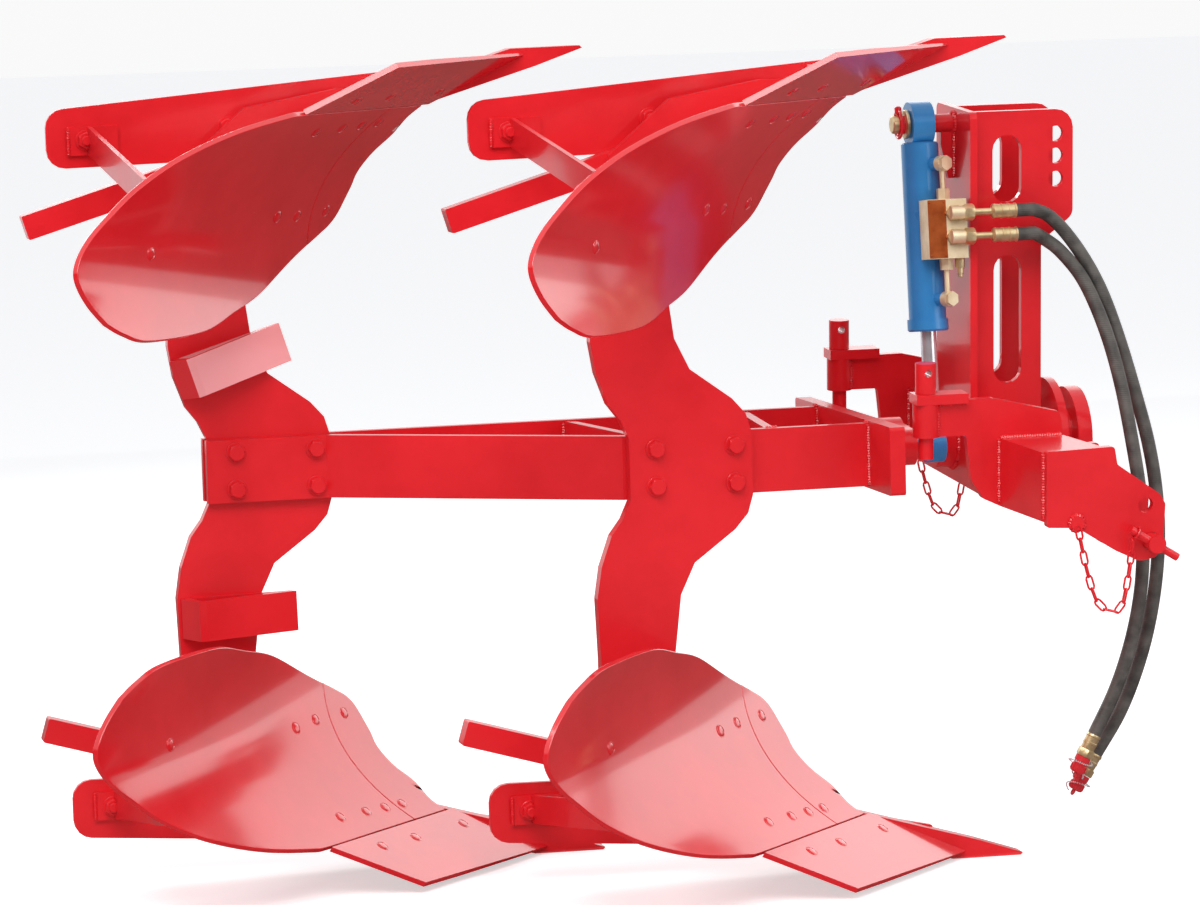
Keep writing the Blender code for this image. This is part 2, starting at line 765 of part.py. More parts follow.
# Beam: a straight plate on the land side and a bent one on the other, with the shanks between or beside.
def strip(path, thickness):
    """A bent strip in plan: the path is one face, and the thickness goes to its left."""
    points = [Vector(point) for point in path]
    inner = []
    for index, here in enumerate(points):
        ways = []
        if index:
            ways.append((here - points[index - 1]).normalized())
        if index < len(points) - 1:
            ways.append((points[index + 1] - here).normalized())
        sides = [Vector((-way.y, way.x)) for way in ways]
        middle = sum(sides, Vector((0, 0))).normalized()
        inner.append(here + middle * thickness / middle.dot(sides[0]))
    return [tuple(point) for point in points] + [tuple(point) for point in reversed(inner)]


bend_front = (-0.004, BEAM_NEAR)
bend_rear = (-0.435, BEAM_NEAR_REAR)
plate("beam_right", [strip(((BEAM_REAR, BEAM_NEAR_REAR), bend_rear, bend_front,
                            (BEAM_FRONT - SEAT, BEAM_NEAR)), BEAM_PLATE)],
      -BEAM_HALF, BEAM_HALF, "XY", frame, RED)
block("beam_left", (BEAM_REAR, BEAM_FAR - BEAM_PLATE, -BEAM_HALF), (BEAM_FRONT - SEAT, BEAM_FAR, BEAM_HALF),
      frame, RED)
cross_low = BEAM_NEAR + BEAM_PLATE + SEAT
cross_high = BEAM_FAR - BEAM_PLATE - SEAT
for name, near_x, far_x in (("cross_bar_rear", 0.020, -0.030), ("cross_bar_front", 0.238, 0.268)):
    plate(name, [[(near_x, cross_low), (near_x + CROSS_BAR, cross_low),
                  (far_x + CROSS_BAR, cross_high), (far_x, cross_high)]],
          -BEAM_HALF + 0.002, BEAM_HALF - 0.002, "XY", frame, RED)
plate("front_cross_plate", [outline((
    (-CROSS_PLATE_REACH, -CROSS_PLATE_HALF, 0.006), (CROSS_PLATE_REACH, -CROSS_PLATE_HALF, 0.006),
    (CROSS_PLATE_REACH, CROSS_PLATE_HALF, 0.006), (-CROSS_PLATE_REACH, CROSS_PLATE_HALF, 0.006)))],
    BEAM_FRONT, BEAM_FRONT + CROSS_PLATE, "YZ", frame, RED)

# Strip brackets folded to a narrow triangle, on the near face of the rear shank.
strap_face = SHANK_NEAR + BODY_STEP - SEAT
strap_loop = ((-0.084, strap_face), (0.084, strap_face), (0.094, strap_face - 0.012),
              (-0.060, strap_face - 0.055), (-0.072, strap_face - 0.055), (-0.094, strap_face - 0.004))
strap_hole = ((-0.078, strap_face - STRAP_PLATE), (0.062, strap_face - STRAP_PLATE),
              (-0.060, strap_face - 0.0465), (-0.066, strap_face - 0.046))
for name, x, z, lean in (("bracket_upper", -0.585, 0.178, 0.30), ("bracket_lower", -0.585, -0.235, 0.02)):
    strap = plate(name, [strap_loop, strap_hole], -STRAP_HEIGHT / 2, STRAP_HEIGHT / 2, "XY", frame, RED)
    strap.matrix_basis = (Matrix.Translation((x, 0, z)) @ Matrix.Rotation(-lean, 4, "Y")
                          @ strap.matrix_basis)

# Turnover shaft with its crank, which the cylinder pushes over the top.
ALONG_X = Matrix.Rotation(math.radians(90), 4, "Y")
shaft_low = BEAM_FRONT + CROSS_PLATE + SEAT
shaft = turned("turnover_shaft", (
    (0, HUB_HIGH - 0.004), (SHAFT_RADIUS - 0.003, HUB_HIGH - 0.004), (SHAFT_RADIUS, HUB_HIGH - 0.007),
    (SHAFT_RADIUS, HUB_LOW + SEAT), (NECK_RADIUS, HUB_LOW + SEAT), (NECK_RADIUS, NECK_LOW),
    (SHAFT_RADIUS + 0.012, NECK_LOW), (SHAFT_RADIUS + 0.012, shaft_low), (0, shaft_low),
), ALONG_X, frame, STEEL, steps=FINE_TURN)
crank_low = NECK_LOW - CRANK_PLATE
crank_root = SHAFT_RADIUS + 0.006
crank_lean = math.asin((crank_root - CRANK_BOSS) / CRANK_RADIUS)
crank_loop = []
for step in range(9):
    turn = math.radians(90) - crank_lean + (math.pi + 2 * crank_lean) * step / 8
    crank_loop.append((-CRANK_RADIUS + CRANK_BOSS * math.cos(turn), CRANK_BOSS * math.sin(turn)))
for step in range(9):
    turn = math.radians(-90) + crank_lean + (math.pi - 2 * crank_lean) * step / 8
    crank_loop.append((crank_root * math.cos(turn), crank_root * math.sin(turn)))
fuse(shaft, plate("crank_arm", [crank_loop], crank_low, NECK_LOW - 0.001, "YZ", frame, STEEL))


# Mast
box_top = BOX_HIGH + SEAT
mast_back = plate("mast_back", [outline((
    (-MAST_HALF, box_top, 0), (MAST_HALF, box_top, 0),
    (MAST_HALF, MAST_TOP, 0.012), (-MAST_HALF, MAST_TOP, 0.012)))],
    MAST_BACK, MAST_BACK + MAST_PLATE, "YZ", headstock, RED)
pivot_back = CYLINDER_X - EYE_WIDTH / 2 - 0.018
gusset_back = CYLINDER_X + BARREL_RADIUS + MOVING_GAP
fuse(mast_back,
     bar("pivot_pin", (pivot_back, 0, PIVOT_HEIGHT), (MAST_BACK + 0.004, 0, PIVOT_HEIGHT), PIVOT_RADIUS,
         headstock, STEEL),
     plate("pivot_gusset", [[(gusset_back, PIVOT_HEIGHT - 0.010), (MAST_BACK + 0.004, PIVOT_HEIGHT - 0.010),
                             (MAST_BACK + 0.004, PIVOT_HEIGHT - 0.090),
                             (gusset_back + 0.013, PIVOT_HEIGHT - 0.090),
                             (gusset_back, PIVOT_HEIGHT - 0.035)]], -0.006, 0.006, "XZ", headstock, RED))
mast_rear = MAST_BACK + MAST_PLATE + SEAT
mast_loops = [outline((
    (mast_rear, box_top, 0), (MAST_LOW_FRONT, box_top, 0.004), (MAST_LOW_FRONT, 0.330, 0.020),
    (MAST_HIGH_FRONT, 0.372, 0.020), (MAST_HIGH_FRONT, MAST_TOP - 0.003, 0.030),
    (mast_rear, MAST_TOP - 0.003, 0))),
    slot(0.645, 0.694, 0.396, 0.507),
    slot(0.647, 0.694, 0.099, 0.310)]
mast_loops += [ring(TOP_LINK_X, height, TOP_LINK_HOLE, 20) for height in TOP_LINK_HEIGHTS]
for name, low in (("mast_right", -MAST_GAP / 2 - MAST_PLATE), ("mast_left", MAST_GAP / 2)):
    plate(name, mast_loops, low, low + MAST_PLATE, "XZ", headstock, RED)

# Headstock beam with the turnover hub through it
hub_radius = SHAFT_RADIUS + RUNNING + HUB_WALL
box_reach = SIDE_OUTER - SIDE_PLATE - SEAT
box = block("headstock_box", (BOX_BACK, -box_reach, BOX_LOW), (BOX_FRONT, box_reach, BOX_HIGH), headstock,
            RED)
cut(box, bar("hub_way", (BOX_BACK - 0.02, 0, 0), (BOX_FRONT + 0.02, 0, 0), hub_radius + SEAT, headstock, RED,
             FINE_TURN))
bore = SHAFT_RADIUS + RUNNING
disc_low = MAST_LOW_FRONT + 0.023
turned("turnover_hub", (
    (HUB_FLANGE, HUB_HIGH), (HUB_FLANGE, HUB_HIGH - 0.024), (hub_radius, HUB_HIGH - 0.024),
    (hub_radius, disc_low + 0.014), (HUB_DISC, disc_low + 0.014), (HUB_DISC, disc_low),
    (hub_radius, disc_low), (hub_radius, HUB_LOW + 0.002), (hub_radius - 0.002, HUB_LOW),
    (bore, HUB_LOW), (bore, HUB_HIGH),
), ALONG_X, headstock, DARK_RED, closed=True, steps=FINE_TURN)

def wire_loop(name, centre, way, side, half, radius):
    """A closed loop of round wire: straight for half to each way, with round ends."""
    shape = bmesh.new()
    across = way.cross(side)
    rings = []
    for end in (1, -1):
        for step in range(5):
            turn = math.radians(45 * step - 90)
            out = end * (way * math.cos(turn) + side * math.sin(turn))
            if half == 0 and step == 4:
                continue
            middle = centre + end * half * way + radius * out
            turns = [math.radians(60 * corner) for corner in range(6)]
            rings.append([shape.verts.new(middle + CHAIN_WIRE * (out * math.cos(at) + across * math.sin(at)))
                          for at in turns])
    for index, here in enumerate(rings):
        after = rings[(index + 1) % len(rings)]
        for corner in range(6):
            following = (corner + 1) % 6
            shape.faces.new((here[corner], here[following], after[following], after[corner]))
    mesh = bpy.data.meshes.new(name)
    shape.to_mesh(mesh)
    shape.free()
    tidy(mesh)
    return add(name, mesh, headstock, STEEL)


def chain(name, line, count):
    """Links along a line, each a quarter turn from the one before and laid into it."""
    stations = along(line, count)
    links = []
    for index, (first, second) in enumerate(zip(stations, stations[1:])):
        way = (second - first).normalized()
        side = way.cross((0, 1, 0)).normalized()
        if index % 2:
            side = way.cross(side)
        half = (second - first).length / 2 + CHAIN_LAP * CHAIN_WIRE - CHAIN_HALF_WIDTH
        links.append(wire_loop("%s_%d" % (name, index), (first + second) / 2, way, side, half,
                               CHAIN_HALF_WIDTH))
    return links


# Stops, side plates and link arms, right and left
cheek_inner = CHEEK_OUTER - CHEEK_PLATE
second_outer = cheek_inner - CLEVIS_GAP
second_inner = second_outer - CHEEK_PLATE
SIDE_LOOP = outline((
    (STOP_X + STOP_SLEEVE - 0.005, STOP_SLEEVE_LOW, 0), (0.537, STOP_SLEEVE_LOW, 0.006),
    (0.545, -0.022, 0.010), (0.565, -0.053, 0.010), (0.592, BOX_LOW, 0.010), (BOX_FRONT, BOX_LOW, 0),
    (BOX_FRONT, 0.067, 0.006), (0.692, 0.082, 0.006), (0.580, 0.109, 0.006),
    (STOP_X + STOP_SLEEVE - 0.005, STOP_CAP_LOW + 0.003, 0)))
CHEEK_LOOP = outline((
    (0.615, 0.048, 0.004), (0.727, 0.051, 0.006), (0.732, 0.022, 0.006), (0.803, -0.029, 0.012),
    (0.812, -0.045, 0.006), (0.809, -0.100, 0.012), (0.798, -0.130, 0.012), (0.769, -0.135, 0.020),
    (0.730, -0.116, 0.020), (0.666, -0.076, 0.006), (0.616, -0.073, 0.004)))
SECOND_LOOP = outline((
    (0.680, 0.040, 0.004), (0.727, 0.045, 0.006), (0.732, 0.022, 0.006), (0.803, -0.029, 0.012),
    (0.812, -0.045, 0.006), (0.809, -0.100, 0.012), (0.798, -0.130, 0.012), (0.769, -0.135, 0.020),
    (0.730, -0.116, 0.020), (0.680, -0.060, 0.006)))
CHAIN_LINE = (
    # x, height
    (0.6650, -0.0720), (0.6715, -0.1115), (0.6825, -0.1570), (0.6960, -0.1950), (0.7150, -0.2100),
    (0.7330, -0.2110), (0.7400, -0.1960), (0.7460, -0.1655), (0.7510, -0.1320),
)
cheek_holes = [ring(LINK_HOLE_X, LINK_HOLE_Z, LINK_PIN_RADIUS + RUNNING, 24),
               ring(0.779, -0.045, 0.0125, 20)]
for side, sign in (("right", -1), ("left", 1)):
    y_low, y_high = sorted((sign * SIDE_OUTER, sign * (SIDE_OUTER - SIDE_PLATE)))
    carrier = plate("stop_carrier_" + side, [SIDE_LOOP], y_low, y_high, "XZ", headstock, RED)
    stop_y = sign * STOP_Y
    cap = block("cap_" + side, (STOP_X - STOP_SLEEVE, stop_y - STOP_SLEEVE, STOP_CAP_LOW),
                (0.537, stop_y + STOP_SLEEVE, STOP_CAP_HIGH), headstock, RED)
    sleeve = bar("sleeve_" + side, (STOP_X, stop_y, STOP_SLEEVE_LOW), (STOP_X, stop_y, STOP_CAP_LOW + 0.004),
                 STOP_SLEEVE, headstock, RED)
    way = bar("stop_way_" + side, (STOP_X, stop_y, STOP_SLEEVE_LOW - 0.02),
              (STOP_X, stop_y, STOP_CAP_HIGH + 0.02), STOP_PIN + RUNNING, headstock, RED)
    cut(fuse(carrier, cap, sleeve), way)
    pin = bar("stop_pin_" + side, (STOP_X, stop_y, STOP_LOW), (STOP_X, stop_y, STOP_HEAD_HIGH - 0.010),
              STOP_PIN, headstock, STEEL)
    head = bar("head_" + side, (STOP_X, stop_y, STOP_CAP_HIGH + SEAT), (STOP_X, stop_y, STOP_HEAD_HIGH),
               STOP_HEAD, headstock, STEEL)
    hole = bar("head_hole_" + side, (STOP_X, stop_y - 0.03, 0.155), (STOP_X, stop_y + 0.03, 0.155),
               STOP_HOLE,
               headstock, STEEL, 16)
    cut(fuse(pin, head), hole)

    arm_low = SIDE_OUTER + SEAT
    arm_high = cheek_inner + 0.004
    arm_loop = [(BOX_BACK, sign * arm_low), (BOX_FRONT, sign * arm_low), (0.727, sign * arm_high),
                (0.615, sign * arm_high)]
    arm = plate("link_arm_" + side, [arm_loop], BOX_LOW, BOX_HIGH - 0.006, "XY", headstock, RED)
    y_low, y_high = sorted((sign * cheek_inner, sign * CHEEK_OUTER))
    outer_cheek = plate("outer_cheek_" + side, [CHEEK_LOOP] + cheek_holes, y_low, y_high, "XZ", headstock,
                        RED)
    y_low, y_high = sorted((sign * second_inner, sign * second_outer))
    inner_cheek = plate("inner_cheek_" + side, [SECOND_LOOP] + cheek_holes, y_low, y_high, "XZ", headstock,
                        RED)
    fuse(arm, outer_cheek, inner_cheek)

    pin_out = sign * (CHEEK_OUTER + LINK_PIN_OVER)
    link_pin = bar("link_pin_" + side, (LINK_HOLE_X, sign * (second_inner - 0.012), LINK_HOLE_Z),
                   (LINK_HOLE_X, pin_out, LINK_HOLE_Z), LINK_PIN_RADIUS, headstock, STEEL, 24)
    handle_y = pin_out - sign * 0.010
    handle_start = Vector((LINK_HOLE_X + HANDLE_HIGH[0], handle_y, LINK_HOLE_Z + HANDLE_HIGH[1]))
    handle_end = Vector((LINK_HOLE_X + HANDLE_LOW[0], handle_y, LINK_HOLE_Z + HANDLE_LOW[1]))
    fuse(link_pin, bar("handle_" + side, handle_start, handle_end, HANDLE_RADIUS, headstock, STEEL, 16))

    # The chain hangs from a ring on the handle and from a welded boss on the cheek.
    handle_way = (handle_end - handle_start).normalized()
    ring_radius = (HANDLE_RADIUS + 2 * SEAT + CHAIN_WIRE) / math.cos(math.pi / 8)
    ring_centre = handle_start + handle_way * CHAIN_RING_PLACE
    down = Vector((handle_way.z, 0, -handle_way.x))
    chain_y = sign * (CHEEK_OUTER + CHAIN_OUT)
    line = [Vector((x, chain_y, z)) for x, z in CHAIN_LINE]
    line.append(ring_centre + down * (ring_radius + 2 * CHAIN_WIRE))
    line[0].y = sign * (CHEEK_OUTER + STAPLE_THICKNESS)
    staple_height = line[0].z + 0.004
    staple = bar("link_chain_" + side, (line[0].x, sign * (CHEEK_OUTER + SEAT), staple_height),
                 (line[0].x, line[0].y, staple_height), STAPLE_RADIUS, headstock, STEEL, 16)
    level = Vector((0, 1, 0))
    fuse(staple, wire_loop("chain_ring_" + side, ring_centre, down, level, 0, ring_radius),
         *chain("chain_" + side, line, CHAIN_LINKS))


# Cylinder: it hangs from the pivot pin, and its rod's eye lies beside the crank's boss.
pivot_world = Matrix.Rotation(HEADSTOCK_TILT, 4, "X") @ Vector((0, 0, PIVOT_HEIGHT))
crank_world = Vector((0, -CRANK_RADIUS, 0))
reach = crank_world - pivot_world
cylinder_length = reach.length
cylinder_lean = math.atan2(reach.y, -reach.z)
cylinder = empty("cylinder_axes", plough, Matrix.Translation((0, pivot_world.y, pivot_world.z))
                 @ Matrix.Rotation(cylinder_lean, 4, "X"))

barrel = turned("cylinder_barrel", (
    (0, BARREL_TOP), (BARREL_RADIUS - 0.003, BARREL_TOP), (BARREL_RADIUS, BARREL_TOP - 0.003),
    (BARREL_RADIUS, BARREL_BOTTOM + 0.020), (BARREL_RADIUS + 0.003, BARREL_BOTTOM + 0.020),
    (BARREL_RADIUS + 0.003, BARREL_BOTTOM + 0.003), (BARREL_RADIUS, BARREL_BOTTOM),
    (ROD_RADIUS + RUNNING, BARREL_BOTTOM), (ROD_RADIUS + RUNNING, BORE_TOP), (0, BORE_TOP),
), Matrix.Translation((CYLINDER_X, 0, 0)), cylinder, BLUE)
eye_low = CYLINDER_X - EYE_WIDTH / 2
eye_high = CYLINDER_X + EYE_WIDTH / 2
pivot_way = bar("pivot_way", (eye_low - 0.02, 0, 0), (eye_high + 0.02, 0, 0), PIVOT_RADIUS + RUNNING,
                cylinder,
                BLUE)
fuse(barrel, bar("barrel_eye", (eye_low, 0, 0), (eye_high, 0, 0), EYE_RADIUS, cylinder, BLUE))
boss_way = Vector((math.sin(BOSS_TURN), -math.cos(BOSS_TURN), 0))
for index, height in enumerate(BOSSES):
    boss_base = Vector((CYLINDER_X, 0, height))
    fuse(barrel, bar("port_boss_%d" % index, boss_base + boss_way * BOSS_INSIDE,
                     boss_base + boss_way * BOSS_REACH, 0.010, cylinder, BLUE, 16))
cut(barrel, pivot_way)

valve = block("valve_block", (BLOCK_BACK, BLOCK_NEAR, BLOCK_LOW),
              (BLOCK_FRONT, -BARREL_RADIUS - SEAT, BLOCK_HIGH), cylinder, ZINC)
for index, height in enumerate(PORTS):
    fuse(valve, bar("elbow_in_%d" % index, (0.566, BLOCK_NEAR + 0.004, height), (0.566, PORT_Y, height),
                    PORT_RADIUS - 0.001, cylinder, ZINC, 16),
         bar("elbow_out_%d" % index, (0.556, PORT_Y, height), (PORT_FRONT, PORT_Y, height),
             PORT_RADIUS, cylinder,
             ZINC, 16))

# A banjo and a short pipe join each of the barrel's ports to the block.
banjo_start = BOSS_REACH + SEAT
banjo_end = banjo_start + BANJO_WIDTH
pipe_out = boss_way * (banjo_start + banjo_end) / 2
for index, (height, block_end, way) in enumerate(((BOSSES[0], BLOCK_HIGH, -1), (BOSSES[1], BLOCK_LOW, 1))):
    base = Vector((CYLINDER_X, 0, height))
    upward = Vector((0, 0, way))
    pipe_foot = Vector((CYLINDER_X, 0, block_end)) + pipe_out
    fuse(valve,
         bar("banjo_%d" % index, base + boss_way * banjo_start, base + boss_way * banjo_end, BANJO_RADIUS,
             cylinder, ZINC, 20),
         bar("banjo_head_%d" % index, base + boss_way * (banjo_end - 0.001),
             base + boss_way * (banjo_end + BANJO_HEAD_WIDTH), BANJO_HEAD, cylinder, ZINC, 6),
         bar("pipe_%d" % index, base + pipe_out + upward * (BANJO_RADIUS - 0.002),
             pipe_foot + upward * 0.003,
             PIPE_RADIUS, cylinder, ZINC, 12),
         bar("pipe_nut_%d" % index, pipe_foot - upward * PIPE_NUT_LENGTH, pipe_foot + upward * 0.002,
             PIPE_NUT,
             cylinder, ZINC, 6))

rod_place = empty("cylinder_rod_axes", cylinder, Matrix.Translation((0, 0, -cylinder_length)))
rod_top = BARREL_BOTTOM + ROD_INSIDE + cylinder_length
rod = bar("cylinder_rod", (CYLINDER_X, 0, ROD_EYE - 0.005), (CYLINDER_X, 0, rod_top), ROD_RADIUS, rod_place,
          STEEL, TURN)
rod_eye = bar("rod_eye", (ROD_EYE_BACK, 0, 0), (ROD_EYE_FRONT, 0, 0), ROD_EYE, rod_place, BLUE)
fuse(rod_eye, bar("rod_stub", (ROD_STUB, 0, 0), (ROD_EYE_BACK + 0.004, 0, 0), 0.0125, rod_place, STEEL, 24))
cut(rod_eye, bar("rod_socket", (CYLINDER_X, 0, ROD_EYE - 0.005 - SEAT), (CYLINDER_X, 0, ROD_EYE + 0.020),
                 ROD_RADIUS + SEAT, rod_place, BLUE, TURN))


# Hoses: from the valve block past the mast, down to their capped couplers.
HOSE_ROUTES = (
    # name, cylinder height of its port, then the points it passes
    ("upper", PORTS[0], ((0.728, -0.118, 0.370), (0.756, -0.122, 0.341), (0.787, -0.128, 0.294),
                         (0.812, -0.138, 0.239), (0.834, -0.150, 0.167), (0.854, -0.165, 0.082),
                         (0.871, -0.180, -0.004), (0.879, -0.192, -0.086), (0.878, -0.200, -0.167),
                         (0.866, -0.205, -0.256), (0.843, -0.208, -0.344), (0.807, -0.208, -0.432),
                         (0.760, -0.206, -0.507))),
    ("lower", PORTS[1], ((0.720, -0.122, 0.332), (0.743, -0.128, 0.313), (0.773, -0.140, 0.273),
                         (0.793, -0.156, 0.224), (0.810, -0.175, 0.161), (0.822, -0.195, 0.089),
                         (0.830, -0.215, 0.009), (0.836, -0.232, -0.071), (0.836, -0.244, -0.151),
                         (0.829, -0.250, -0.231), (0.811, -0.252, -0.312), (0.783, -0.250, -0.392),
                         (0.745, -0.246, -0.468))),
)
cylinder_turn = Matrix.Rotation(cylinder_lean, 4, "X")
cylinder_world = Matrix.Translation((0, pivot_world.y, pivot_world.z)) @ cylinder_turn
for name, port, route in HOSE_ROUTES:
    port_end = cylinder_world @ Vector((PORT_FRONT + SEAT, PORT_Y, port))
    ferrule_end = port_end + Vector((FERRULE_LENGTH, 0, 0))
    ferrule = bar("ferrule_" + name, port_end, ferrule_end, FERRULE_RADIUS, plough, ZINC, 20)
    start = ferrule_end + Vector((HOSE_SEAT, 0, 0))
    points = [start + Vector((HOSE_STRAIGHT, 0, 0))] + [Vector(point) for point in route]
    fine = [start] + along(points, 43)
    hose_data = bpy.data.curves.new("hose_" + name, "CURVE")
    hose_data.dimensions = "3D"
    hose_data.bevel_depth = HOSE_RADIUS
    hose_data.bevel_resolution = 2
    hose_data.use_fill_caps = True
    spline = hose_data.splines.new("POLY")
    spline.points.add(len(fine) - 1)
    for point, place in zip(spline.points, fine):
        point.co = (*place, 1)
    drawn = bpy.data.objects.new("hose_drawn_" + name, hose_data)
    PARTS.objects.link(drawn)
    add("hose_" + name, evaluated(drawn), plough, RUBBER)
    bpy.data.objects.remove(drawn)
    bpy.data.curves.remove(hose_data)
    way = (fine[-1] - fine[-2]).normalized()
    coupler_start = fine[-1] + way * HOSE_SEAT
    turn = way.to_track_quat("Z", "Y").to_matrix().to_4x4()
    turned("coupler_" + name, (
        (0, COUPLER_LENGTH), (COUPLER_RADIUS - 0.002, COUPLER_LENGTH),
        (COUPLER_RADIUS, COUPLER_LENGTH - 0.002),
        (COUPLER_RADIUS, COUPLER_LENGTH - 0.034), (COUPLER_RADIUS - 0.003, COUPLER_LENGTH - 0.036),
        (COUPLER_RADIUS - 0.003, 0.018), (HOSE_RADIUS + 0.0015, 0.016), (HOSE_RADIUS + 0.0015, 0), (0, 0),
    ), Matrix.Translation(coupler_start) @ turn, plough, DARK_RED, steps=20)
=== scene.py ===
"""Looks of a two-furrow reversible mouldboard plough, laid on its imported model."""
import math

import bmesh
import bpy
from mathutils import Matrix, Vector
from mathutils.geometry import delaunay_2d_cdt
from mathutils.kdtree import KDTree


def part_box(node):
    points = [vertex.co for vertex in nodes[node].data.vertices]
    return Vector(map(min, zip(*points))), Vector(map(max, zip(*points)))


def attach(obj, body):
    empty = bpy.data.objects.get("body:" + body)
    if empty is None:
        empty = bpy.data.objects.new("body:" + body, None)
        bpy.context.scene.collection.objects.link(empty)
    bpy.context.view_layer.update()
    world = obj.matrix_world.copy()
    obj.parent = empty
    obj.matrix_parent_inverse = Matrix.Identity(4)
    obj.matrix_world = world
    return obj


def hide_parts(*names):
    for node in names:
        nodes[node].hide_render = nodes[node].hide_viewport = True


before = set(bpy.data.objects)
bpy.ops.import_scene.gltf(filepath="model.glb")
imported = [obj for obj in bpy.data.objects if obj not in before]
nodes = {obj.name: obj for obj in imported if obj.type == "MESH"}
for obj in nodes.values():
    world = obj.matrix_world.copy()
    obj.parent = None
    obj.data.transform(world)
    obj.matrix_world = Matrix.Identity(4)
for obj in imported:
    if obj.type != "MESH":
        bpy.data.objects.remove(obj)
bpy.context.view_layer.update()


# Camera: low, to the plough's right and a little behind it, far off with a long lens, so that the
# beam runs almost level. Its height and tilt follow the photograph.
AXIS = Vector((0.0414, 0.12875, 0.666))
CAMERA_PLACE = AXIS + Vector((-1.780, -7.639, 0.850))
CAMERA_AZIMUTH = math.radians(-13.1)
CAMERA_ELEVATION = math.radians(6.1)
CAMERA_ROLL = math.radians(-1.69)
FOCAL_PIXELS = 4863
PICTURE_WIDTH = 1200

ahead = Vector((-math.sin(CAMERA_AZIMUTH) * math.cos(CAMERA_ELEVATION),
                math.cos(CAMERA_AZIMUTH) * math.cos(CAMERA_ELEVATION), -math.sin(CAMERA_ELEVATION)))
level = Vector((math.cos(CAMERA_AZIMUTH), math.sin(CAMERA_AZIMUTH), 0))
above = level.cross(ahead)
across = math.cos(CAMERA_ROLL) * level + math.sin(CAMERA_ROLL) * above
upright = -math.sin(CAMERA_ROLL) * level + math.cos(CAMERA_ROLL) * above
lens = bpy.data.cameras.new("photograph_camera")
lens.sensor_width = 36.0
lens.lens = FOCAL_PIXELS / PICTURE_WIDTH * 36.0
lens.clip_end = 100
lens.shift_x = -0.5 / PICTURE_WIDTH
lens.shift_y = -1.4 / PICTURE_WIDTH
camera = bpy.data.objects.new("photograph_camera", lens)
bpy.context.scene.collection.objects.link(camera)
camera.matrix_world = Matrix((
    (across.x, upright.x, -ahead.x, CAMERA_PLACE.x),
    (across.y, upright.y, -ahead.y, CAMERA_PLACE.y),
    (across.z, upright.z, -ahead.z, CAMERA_PLACE.z),
    (0, 0, 0, 1)))
bpy.context.scene.camera = camera


# Studio: a wide pale floor in a white surround, a soft panel above the camera, a fill and a smaller
# light from behind. A large card ahead of the plough shows in its boards as open sky does, and dark
# flags on the floor and round it show as the ground does, in reflections only.
FLOOR_COLOUR = (0.90, 0.90, 0.90, 1)
SURROUND = 0.95
STUDIO_HALF = 50.0
GLOW = 0.55
FLAG_HALF = 11.0
FLAG_FAR = -10.5
FLAG_BACK = 7.0
FLAG_TOP = 3.6
FLAG_LIFT = 0.004
FLAG_TONE = (0.12, 0.07, 0.06, 1)
FLAG_SIDES = (
    ((-FLAG_HALF, FLAG_FAR, FLAG_LIFT), (FLAG_HALF, FLAG_FAR, FLAG_LIFT),
     (FLAG_HALF, FLAG_BACK, FLAG_LIFT), (-FLAG_HALF, FLAG_BACK, FLAG_LIFT)),
    ((-FLAG_HALF, FLAG_FAR, FLAG_LIFT), (FLAG_HALF, FLAG_FAR, FLAG_LIFT),
     (FLAG_HALF, FLAG_FAR, FLAG_TOP), (-FLAG_HALF, FLAG_FAR, FLAG_TOP)),
    ((-FLAG_HALF, FLAG_BACK, FLAG_LIFT), (-FLAG_HALF, FLAG_FAR, FLAG_LIFT),
     (-FLAG_HALF, FLAG_FAR, FLAG_TOP), (-FLAG_HALF, FLAG_BACK, FLAG_TOP)),
)
WHITE = (1, 1, 1, 1)
AIR_COLOUR = (0.92, 0.94, 1.0, 1)
AIR = 0.40
LIGHTS = (
    # name, place, aimed at, size, height, power, whether it also lights matt surfaces
    ("key", (-1.6, -4.2, 5.0), (0, 0, 0.5), 5.6, 3.4, 330, True),
    ("fill", (4.6, -4.6, 2.2), (0, 0, 0.6), 3.0, 3.0, 60, True),
    ("back", (-1.5, 4.6, 3.2), (0, 0, 0.8), 3.0, 1.6, 110, True),
    ("card", (5.7, 4.8, 3.7), (0, 0, 0.7), 10.0, 5.4, 185, False),
)


def fill(node, values):
    """Sets a node's open sockets."""
    for socket, value in values.items():
        node.inputs[socket].default_value = value
    return node


def new_node(tree, kind, values=None, operation=None):
    """A new shader node with its values, and its operation if it is a Math node."""
    made = tree.nodes.new("ShaderNode" + kind)
    if operation:
        made.operation = operation
    return fill(made, values or {})


def join(tree, *pairs):
    """Links each source socket to its target."""
    for source, target in pairs:
        tree.links.new(source, target)


def new_material(name, values):
    """A material with its node tree and its Principled shader, whose plain sockets are set."""
    made = bpy.data.materials.new(name)
    made.use_nodes = True
    return made, made.node_tree, fill(made.node_tree.nodes["Principled BSDF"], values)


def shown_to(tree):
    """A share of 1 for rays from the camera, off gloss and through glass."""
    ray = new_node(tree, "LightPath")
    either = new_node(tree, "Math", operation="MAXIMUM")
    any_of = new_node(tree, "Math", operation="MAXIMUM")
    join(tree,
         (ray.outputs["Is Camera Ray"], either.inputs[0]),
         (ray.outputs["Is Glossy Ray"], either.inputs[1]),
         (either.outputs[0], any_of.inputs[0]),
         (ray.outputs["Is Transmission Ray"], any_of.inputs[1]))
    return any_of.outputs[0]


